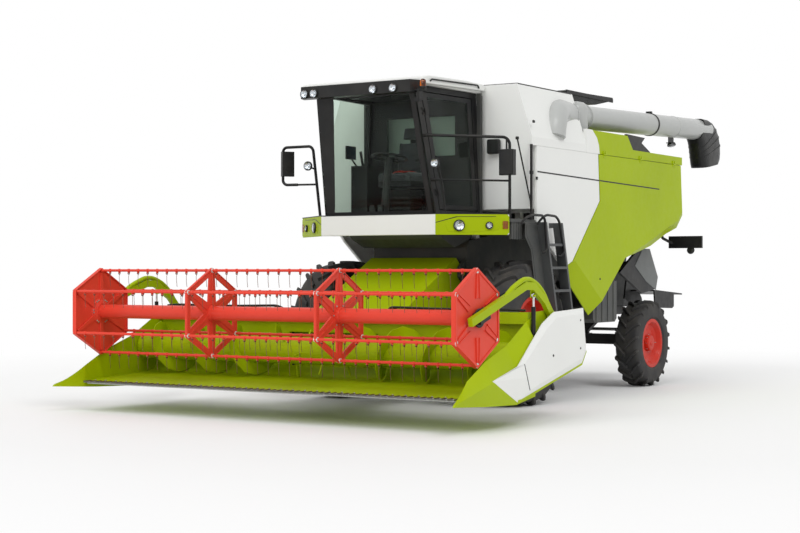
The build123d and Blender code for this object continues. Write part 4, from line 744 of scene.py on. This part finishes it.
# Ribbed platform side, board in front of the ladder and grab bars
rib = [(0, 1935), (40, 1935), (46, 1950), (46, 2150), (36, 2168), (10, 2168), (0, 2150)]
ribs = [prism("x", [(y + along, z) for along, z in rib], 1400, 1438) for y in range(-500, 0, 58)]
piece("platform_ribs", "side_grey", ribs, bevel=5)
BOARD = [(-297, 2136), (71, 2145), (96, 1935), (196, 1467), (272, 1173), (-29, 1236), (-78, 1469),
         (-152, 1816), (-297, 1964)]
INNER = [(-262, 2110), (44, 2116), (66, 1930), (166, 1458), (228, 1212), (0, 1262), (-48, 1476), (-124, 1826),
         (-262, 1974)]
board = [prism("x", BOARD, 1497, 1503), prism("x", INNER, 1503, 1509)]
board.append(block(1440, 1500, -280, 40, 2120, 2136))
piece("ladder_board", "side_grey", board, bevel=4)
BARS = (
    [(1560, -500, 2110), (1600, -490, 2170), (1618, -350, 2215), (1618, -90, 2215), (1618, -30, 2170),
     (1618, 20, 1830), (1600, 0, 1790), (1570, -20, 1790)],
    [(1560, -110, 2110), (1600, -100, 2170), (1618, 0, 2225), (1618, 244, 2215), (1618, 330, 2160),
     (1618, 455, 1800), (1600, 420, 1750), (1570, 390, 1750)],
)
piece("ladder_grab_bars", "frame_black", [tube(run, 15, bend=70) for run in BARS])

# Cab: frit round the windscreen, pillar behind the door, headliner, mat, rail and beacon's arm


def screen_band(outline, low=0.5, high=4.5):
    """A plate in front of the windscreen, which leans forward as it goes up."""
    return hull([[(x, -1058 - 0.2214 * (z - 2200) - out, z) for x, z in outline] for out in (low, high)])


frit = [
    screen_band([(-735, 2215), (-630, 2215), (-604, 2330), (-500, 3100), (-440, 3520), (-440, 3640),
                 (-668, 3640)]),
    screen_band([(676, 2215), (735, 2215), (668, 3640), (590, 3640), (609, 3496), (625, 2941)]),
    screen_band([(-668, 3560), (668, 3560), (668, 3655), (-668, 3655)], 4, 6),
    screen_band([(-735, 2205), (735, 2205), (733, 2262), (-733, 2262)], 4, 6),
]
piece("windscreen_frit", "black_plastic", frit, bevel=1)
pillar = [block(776, 826, -154, -118, 2200, 3668)]
pillar += [block(824, 832, -150 + 11 * i, -144 + 11 * i, 2230, 3640) for i in range(4)]
piece("cab_pillars", "housing_grey", pair(pillar), bevel=2)
inside = [block(-640, 640, -1300, -150, 3640, 3662), block(-250, 250, -1310, -1180, 3560, 3642),
          block(-700, 700, -1030, -150, 2200, 2212)]
inside += [block(-690 + 55 * i, -665 + 55 * i, -1020, -800, 2212, 2218) for i in range(26)]
piece("cab_lining", "black_plastic", inside, bevel=4)
rail = [(842, -1300, 3700), (842, -1270, 3722), (842, -240, 3752), (842, -210, 3720)]
piece("cab_rail", "frame_black", [tube(rail, 9, bend=25, sides=10)])
arm = [block(800, 832, -1520, -1440, 3470, 3576), block(770, 826, -1524, -1500, 3450, 3500)]
piece("beacon_arm", "frame_black", arm, bevel=3)

# Rear: lamps on their boards, plates beside the chopper, tank skins
rims, red, amber = [], [], []
for x, colour in ((1235, amber), (1345, red), (1455, red), (1565, amber)):
    rims.append(lathe((x, 4598, 1975), Y, [
        (0, 44), (0, 52), (14, 52), (16, 50), (16, 44), (0, 44)], 28))
    colour.append(lathe((x, 4598, 1975), Y, [(0, 0), (0, 44), (16, 43), (24, 30), (27, 0)], 28))
piece("rear_lamp_rims", "black_plastic", pair(rims))
piece("rear_lamps_red", "lamp_pale", pair(red), look="red_lens")
piece("rear_lamps_amber", "lamp_pale", pair(amber), look="amber")
plate = [(3723, 1640), (3980, 1880), (4220, 1880), (4498, 1486), (4428, 1302), (4100, 1420)]
piece("rear_side_plates", "side_grey", pair([prism("x", plate, 1038, 1046)]), bevel=4, look="plate_grey")
tank = [(2070, 950), (2070, 1440), (2780, 1440), (2780, 950), (2720, 905), (2130, 905)]
tank = [prism("x", tank, 900, 1212)]
tank += [block(1205, 1222, 2150 + 170 * i, 2166 + 170 * i, 915, 1445) for i in range(4)]
tank.append(lathe((1100, 2350, 1448), Z, [(0, 0), (0, 62), (20, 62), (26, 56), (26, 0)], 24))
piece("fuel_tank_skins", "side_grey", pair(tank), bevel=14)

# Seat: sewn cushions blown up a little as cloth, over a bellows base
CLOTH_CAP, CLOTH_VOXEL, CHANNEL_HALF = 0.011, 0.008, 0.014


def applied(obj):
    """The mesh with its modifiers applied, which then come off."""
    graph = bpy.context.evaluated_depsgraph_get()
    mesh = bpy.data.meshes.new_from_object(obj.evaluated_get(graph))
    obj.modifiers.clear()
    return mesh


def cushion(name, shape, channels):
    """A crowned cloth form. Channels are (axis, place, depth) in the drawing, pressed in after the cloth."""
    obj = piece(name, "seat_fabric", [shape], sharp=180)
    scene = bpy.context.scene
    remesh = obj.modifiers.new("even", "REMESH")
    remesh.mode = "VOXEL"
    remesh.voxel_size = CLOTH_VOXEL
    obj.data = applied(obj)
    start = [vertex.co.copy() for vertex in obj.data.vertices]
    cloth = obj.modifiers.new("cloth", "CLOTH")
    cloth.settings.use_pressure = True
    cloth.settings.uniform_pressure_force = 4
    cloth.settings.effector_weights.gravity = 0
    for number in range(1, 21):
        scene.frame_set(number)
    blown = applied(obj)
    scene.frame_set(1)
    for vertex, origin in zip(blown.vertices, start):
        step = vertex.co - origin
        if step.length > CLOTH_CAP:
            step *= CLOTH_CAP / step.length
        spot = origin + step
        for axis, place, depth in channels:
            target = at(*(place if k == axis else 0 for k in range(3)))[axis]
            near = max(0.0, 1 - ((spot[axis] - target) / CHANNEL_HALF) ** 2)
            spot = spot - vertex.normal * depth * near * near
        vertex.co = spot
    for polygon in blown.polygons:
        polygon.use_smooth = True
    obj.data = blown
    obj.modifiers.new("fine", "SUBSURF").levels = 1
    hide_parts("seat")


def leaning(outline, low, high, lean, share):
    """A prism up the seat's back: the top is narrower and further back."""
    top = [(share * x, y + lean * (y < -320), high) for x, y in outline]
    return hull([[(x, y, low) for x, y in outline], top])


BOLSTERS = [(-232, 2636), (232, 2636), (238, 2690), (222, 2726), (182, 2728), (152, 2708), (-152, 2708),
            (-182, 2728), (-222, 2726), (-238, 2690)]
cushion("seat_cushion", prism("y", BOLSTERS, -748, -306),
        [(0, -150, 0.006), (0, 150, 0.006), (1, -560, 0.004)])
BACK = [(-205, -304), (205, -304), (212, -350), (196, -392), (160, -394), (132, -374), (-132, -374),
        (-160, -394), (-196, -392), (-212, -350)]
cushion("seat_back", leaning(BACK, 2752, 3110, 24, 0.9),
        [(0, -128, 0.006), (0, 128, 0.006), (2, 2930, 0.004)])
HEADREST = [(-120, -306), (120, -306), (130, -340), (110, -372), (-110, -372), (-130, -340)]
cushion("seat_headrest", leaning(HEADREST, 3150, 3280, 12, 0.85), [])
bellows = [(30 * k, 205 if k % 2 else 180) for k in range(1, 10)]
pedestal = [lathe((0, -470, 2214), Z, [
    (0, 0), (0, 205), *bellows, (300, 190), (320, 190), (320, 0)], 4, turn=pi / 4)]
pedestal += [block(-225, 225, -740, -300, 2560, 2634), block(225, 262, -640, -330, 2850, 2890),
             block(228, 250, -380, -330, 2640, 2870), block(-40, 40, -330, -306, 3090, 3170)]
base = piece("seat_base", "black_plastic", pedestal, bevel=6)
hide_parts("seat")
BELT = [(236, -420, 2700), (120, -560, 2752), (0, -600, 2742), (-120, -560, 2752), (-236, -420, 2700)]
piece("seat_belt", "rim_red", [tube(BELT, 7, bend=80), block(-30, 30, -628, -574, 2738, 2758)], bevel=2)

# Driver's controls: screen, buttons on the console, pedals
desk = [block(-590, -570, -900, -700, 2900, 3060), tube([(-560, -700, 2820), (-575, -780, 2900)], 10)]
for i in range(8):
    x, y = 30 * (i % 4) - 530, 60 * (i // 4) - 560
    desk.append(block(x, x + 20, y, y + 40, 2818, 2830))
desk += [block(x, x + 70, -1040, -1000, 2240, 2340) for x in (-150, -40)]
piece("cab_desk", "black_plastic", desk, bevel=4)
display = [block(-571, -566, -890, -710, 2912, 3048), block(-568, -560, -800, -790, 2905, 2911)]
piece("cab_display", "black_plastic", display, look="screen", bevel=1)

# Mirrors in rounded housings, work lamps on the rails, the tank's rods
housing = [prism("y", [(1330, 2680), (1344, 2665), (1482, 2665), (1496, 2680), (1496, 2945), (1482, 2960),
                       (1344, 2960), (1330, 2945)], -600, -520),
           prism("y", [(890, 2965), (904, 2950), (1036, 2950), (1050, 2965), (1050, 3110), (1036, 3124),
                       (904, 3124), (890, 3110)], -118, -58),
           tube([(1404, -560, 2950), (1404, -560, 3100)], 11), block(950, 990, -60, -26, 3000, 3060)]
piece("mirror_housings", "black_plastic", housing, bevel=14, segments=3)
silver = [block(1342, 1484, -519, -517, 2682, 2943), block(1350, 1476, -518, -515, 2690, 2700)]
piece("mirror_faces", "rod_chrome", silver, look="mirror")
WORK_LAMPS = ((-918, -1196, 2814), (842, -1200, 2788))
shell = [(0, 0), (0, 50), (16, 46), (38, 24), (40, 0)]
holders = [lathe(spot, (-0.1, 1, 0), shell, 24) for spot in WORK_LAMPS]
holders += [
    tube([(-918, -1160, 2814), (-935, -1110, 2800), (-938, -1060, 2790)], 10, bend=20),
    tube([(842, -1165, 2788), (850, -1120, 2700), (852, -1060, 2560), (860, -1000, 2240)], 11, bend=60),
]
lamp_pieces("work_lamp", [lamp(spot, (0.1, -1, 0), 52) for spot in WORK_LAMPS], holders)
rods = [
    tube([(1452, -395, 3096), (1452, -82, 2398), (1452, -60, 2224)], 9, bend=30),
    tube([(1455, -58, 3049), (1455, -58, 2170)], 17), block(1440, 1470, -80, -36, 2700, 2740),
    lathe((1452, -395, 3080), Z, [(0, 0), (0, 20), (30, 20), (34, 14), (34, 0)], 16),
]
piece("tank_rods", "frame_black", rods, bevel=1)
latches = [block(1446, 1466, -20, 16, 3300, 3330), tube([(1460, -10, 3318), (1480, -60, 3322)], 8),
           block(1446, 1464, 60, 92, 2640, 2676), block(1446, 1464, 60, 92, 1800, 1836)]
piece("tank_latches", "black_plastic", latches, bevel=3)

# Beside the tank's rear end: dark frame on the deck, tank edge trims
GRILLE = [(2628, 3150), (2628, 3356), (3196, 3343), (3090, 3268), (3358, 3166), (3358, 3150)]
piece("deck_guard", "black_plastic", pair([prism("x", GRILLE, 1392, 1432)]), bevel=4)
rim = [tube([(x, 1372, 3768), (x, -10, 3768)], 13, sides=10) for x in (-1240, 1240)]
rim += [tube([(-1240, y, 3768), (1240, y, 3768)], 13, sides=10) for y in (-10, 1372)]
piece("tank_rim", "frame_black", rim)

# Hood deck and rear: hatches with handles, exhaust, louvres, rail and panel seams
HANDLE = [(150, 10), (150, 45), (270, 45), (270, 10)]
deck, rails = [], []
for x in (-1180, 760):
    for y in (1780, 3200):
        deck.append(block(x, x + 420, y, y + 1050, DECK_Z - 2, DECK_Z + 14))
        rails.append(tube([(x + dx, y + 40, DECK_Z + dz) for dx, dz in HANDLE], 8, bend=20))
piece("deck_hatches", "lime", deck, bevel=6)
rails.append(lathe((-900, 2990, DECK_Z - 4), Z, [
    (0, 0), (0, 130), (12, 130), (14, 85), (330, 85), (334, 92), (346, 92), (350, 72), (330, 66), (330, 0)]))


def on_hood(out, z):
    """Y and Z of a place in front of the hood's rear face, which leans forward as it goes up."""
    return 4489.5 - 0.1358 * (z - 2456) + out, z


def leaning_panel(x, z, low, high):
    return prism("x", [on_hood(low, z[0]), on_hood(high, z[0]), on_hood(high, z[1]), on_hood(low, z[1])], *x)


LOUVRE = [(2, 2525), (24, 2515), (26, 2519), (3, 2540)]
louvre = [leaning_panel((-660, 660), (2500, 2960), -6, 4)]
louvre += [prism("x", [on_hood(out, z + 34 * i) for out, z in LOUVRE], -640, 640) for i in range(12)]
louvre += [leaning_panel((x, x + 18), (2506, 2954), 0, 28) for x in (-652, -9, 634)]
piece("hood_louvres", "black_plastic", louvre + rails, bevel=2)
panels = pair([leaning_panel((720, 1360), (2500, 2980), -4, 8)])
panels.append(leaning_panel((-1360, 1360), (3010, 3110), -4, 8))
piece("hood_rear_panels", "lime", panels, bevel=5)
screen = [block(-300, 700, y, y + 26, 3926, 3950) for y in (2400, 2760, 3120, 3480)]
screen += [block(x, x + 20, 2320, 3740, 3900, 3952) for x in (-310, 690)]
piece("screen_frame", "frame_black", screen, bevel=3)
boards = [lathe((x, 4560, 1870), (0, 1, -0.3), [
    (0, 0), (0, 40), (16, 52), (42, 54), (48, 46), (48, 0)], 24) for x in (-1500, 1500)]
boards += [block(x - 14, x + 14, 4560, 4580, 1870, 1910) for x in (-1500, 1500)]
piece("rear_work_lamps", "black_plastic", boards, bevel=2)

# Header: folded covers with seams, knife guards and bolts, pipes on the beam, the reel's bearings
SIDE = (
    (-1025, 1178, 20, -1078, 1122), (-953, 714, 20, -1008, 736), (-1050, 579, 24, -1098, 642),
    (-2480, 262, 26, -2272, 376), (-2980, 500, 30, -2325, 500), (-2480, 620, 24, -2385, 640),
    (-1950, 1040, 22, -1915, 972), (-1700, 1150, 20, -1685, 1090),
)
cover = piece("cover_panels", "header_white", pair([folded(SIDE, COVER_OUTER, 14)]), "header", sharp=4)
edge_round(cover, 2)
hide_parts("header_side_covers")
seams = [lathe((COVER_OUTER - 2, y, z), X, [(0, 0), (0, r), (5, r), (7, 0.7 * r), (7, 0)], 20)
         for y, z, r in ((-1760, 700, 14), (-1130, 750, 12), (-1130, 1050, 10))]
SEAM = [(-2264, 374), (-2276, 371), (-2392, 641), (-2380, 644)]
seams.append(prism("x", SEAM, COVER_OUTER - 3, COVER_OUTER + 1))
piece("cover_seams", "black_plastic", pair(seams), "header", bevel=1)
edge = [(-2480, 250), (-1050, 567), (-941, 706), (-953, 728), (-1068, 600), (-2480, 284)]
edge = pair([prism("x", edge, COVER_OUTER - 34, COVER_OUTER - 20)])
piece("cover_lower_edges", "lime", edge, "header", bevel=2)
KNIFE_PITCH = 76.2
# from the guard's root to its middle: Y, half width, low and high
GUARD = ((-3300, 13, 330, 352), (-3370, 9, 332, 348))
FACES = [(0, 1, 2, 3), (0, 4, 5, 1), (1, 5, 6, 2), (2, 6, 7, 3), (3, 7, 4, 0),
         (4, 8, 5), (5, 8, 6), (6, 8, 7), (7, 8, 4)]
guards, knife = [], []
count = int(2 * (TABLE_HALF - 30) / KNIFE_PITCH)
for index in range(count):
    x = (index - (count - 1) / 2) * KNIFE_PITCH
    corners = [(x + s * half, y, z) for y, half, low, high in GUARD
               for s, z in ((-1, low), (1, low), (1, high), (-1, high))]
    guards.append((corners + [(x, -3424, 338)], FACES))
    if index % 2:
        knife.append(bolt((x, -3302, 351), Z, 8, 7))
piece("knife_guards", "bare_steel", guards, "header", look="spring_steel")
KNIFE = [(-3298, 310), (-3306, 322), (-3298, 327), (-3180, 327), (-3180, 310)]
knife.append(prism("x", KNIFE, 30 - TABLE_HALF, TABLE_HALF - 30))
piece("knife_bolts", "bare_steel", knife, "header")
beam = [prism("x", [(-2078, 1060), (-2084, 1072), (-2084, 1112), (-2078, 1124)], x - 130, x + 130)
        for x in (-2000, -1200, 1200, 2000)]
piece("beam_pads", "black_plastic", beam, "header", bevel=3)
seals = [prism("z", [(584, -1942), (650, -1942), (650, -1896), (600, -1896)], 430, 1000),
         prism("x", [(-1944, 424), (-1896, 420), (-1896, 470), (-1944, 452)], -640, 640)]
piece("feeder_seals", "black_plastic", pair(seals[:1]) + seals[1:], "header", look="rubber")
PIPES = (
    [(2400, -1960, 1168), (2300, -1980, 1176), (1500, -1980, 1170), (800, -1970, 1180), (700, -1900, 1120)],
    [(2400, -1990, 1166), (2200, -2010, 1178), (1400, -2010, 1172), (760, -2000, 1184), (650, -1900, 1100)],
)
piece("header_hoses", "frame_black", pair([tube(run, 13, bend=60) for run in PIPES]), "header")
ARM_X = 2536
ARM = [(-2640, 1312), (-2480, 1410), (-2250, 1492), (-2120, 1492), (-1960, 1440), (-1800, 1330),
       (-1690, 1170)]
arm_bars = [tube([(ARM_X, y, z) for y, z in ARM], 26, bend=90, sides=14),
            block(ARM_X - 16, ARM_X + 16, -2240, -2180, 1425, 1495)]
piece("reel_arm_bars", "lime", pair(arm_bars), "reel_arms", bevel=2)
bearing = [lathe((2489, REEL_Y, REEL_Z), X, [
    (0, 40), (0, 92), (10, 96), (18, 90), (18, 40), (0, 40)])]
for k in range(6):
    spot = (2507, REEL_Y + 66 * cos(k * pi / 3), REEL_Z + 66 * sin(k * pi / 3))
    bearing.append(bolt(spot, X, 7, 6))
piece("reel_end_bearings", "frame_black", pair(bearing), "reel_carriage")

# Lines on the fascia and the platform's front rail
trims = pair([
    fascia_plate([(0, 2217), (1, 2217), (1, 2229), (0, 2229)], -14, 5),
    fascia_plate([(0, 2117), (0.30, 2186), (0.82, 2188), (0.82, 2194), (0.28, 2192), (0, 2125)], 2, 6),
])
RAIL = [(-790, -1110), (0, -1149), (790, -1110), (780, -1085), (0, -1125), (-780, -1085)]
trims.append(prism("z", RAIL, 2216, 2228))
piece("fascia_trims", "black_plastic", trims, bevel=1)


# Camera, light and floor

AMBIENT = 0.62
optics = bpy.data.cameras.new("camera")
optics.lens = 72.75
optics.sensor_width = 36
camera = linked("camera", optics)
camera.location = (10.3249, -17.958, 1.5898)
camera.rotation_euler = (pi / 2 + 0.0019, 0, radians(32.72))
bpy.context.scene.camera = camera
bpy.context.scene.view_settings.view_transform = "Standard"


def seen_directly(tree):
    """1 for what the camera sees, also in a mirror or through glass."""
    rays = add_node(tree, "LightPath").outputs
    total = rays["Is Camera Ray"]
    for kind in ("Is Glossy Ray", "Is Transmission Ray"):
        higher = add_node(tree, "Math", operation="MAXIMUM")
        feed(tree, higher.inputs[0], total)
        feed(tree, higher.inputs[1], rays[kind])
        total = higher.outputs[0]
    return total


def show(tree, factor, first, second, output):
    """Mixes two shaders by a factor and sends them to the output."""
    mix = add_node(tree, "MixShader")
    for socket, value in zip(mix.inputs, (factor, first.outputs[0], second.outputs[0])):
        feed(tree, socket, value)
    feed(tree, tree.nodes[output].inputs[0], mix.outputs[0])


world = bpy.data.worlds.new("studio")
bpy.context.scene.world = world
world.use_nodes = True
tree = world.node_tree
sky = tree.nodes["Background"]
sky.inputs["Color"].default_value = (1, 1, 1, 1)
sky.inputs["Strength"].default_value = AMBIENT
backdrop = add_node(tree, "Background", Color=(1, 1, 1, 1), Strength=1.0)
show(tree, seen_directly(tree), sky, backdrop, "World Output")

# name, strength, how wide its disc looks, pitch and turn in degrees
for name, strength, spread, pitch, turn in (("key", 0.95, 24, 46, 62), ("front", 1.05, 40, 56, 0)):
    sun = bpy.data.lights.new(name, "SUN")
    sun.energy = strength
    sun.angle = radians(spread)
    linked(name, sun).rotation_euler = (radians(pitch), 0, radians(turn))

FLOOR_R, FADE_START, FADE_END = 40, 7.5, 13
floor_mesh = bpy.data.meshes.new("floor")
ring = [(FLOOR_R * cos(2 * pi * k / 64), FLOOR_R * sin(2 * pi * k / 64), -0.001) for k in range(64)]
floor_mesh.from_pydata(ring, [], [tuple(range(64))])
floor = linked("floor", floor_mesh)
shader = Shader("studio_floor", (0.92, 0.92, 0.92), 0.7)
floor_mesh.materials.append(shader.done())
glow = shader.node("Emission", Strength=1.0)
distance = shader.node("VectorMath", operation="LENGTH")
feed(shader.tree, distance.inputs[0], shader.place)
fade = shader.range(distance.outputs["Value"], FADE_START, FADE_END)
factor = shader.math("MULTIPLY", fade, seen_directly(shader.tree))
show(shader.tree, factor, shader.bsdf, glow, "Material Output")

# Broken edges on the sheet and cast pieces: width in millimetres, nodes
for width, nodes in (
    (55, "cab_roof"), (25, "fuel_tank"), (22, "roof_visor"), (10, "grain_tank"),
    (8, "platform_fascia threshing_housing straw_chopper"), (7, "cover_front_left cover_front_right"),
    (6, "rear_hood header_sides cab_frame door_frame reel_arms front_axle railings cooling_screen"),
    (5, "feeder_house platform_deck rear_lamp_boards reel_carriage"), (4, "chassis_frame"), (3, "ladder"),
):
    for node in nodes.split():
        obj = frame["nodes"][node]
        obj.modifiers.new("weld", "WELD").merge_threshold = 0.0001
        edge_round(obj, width, 4 if width > 20 else 2)
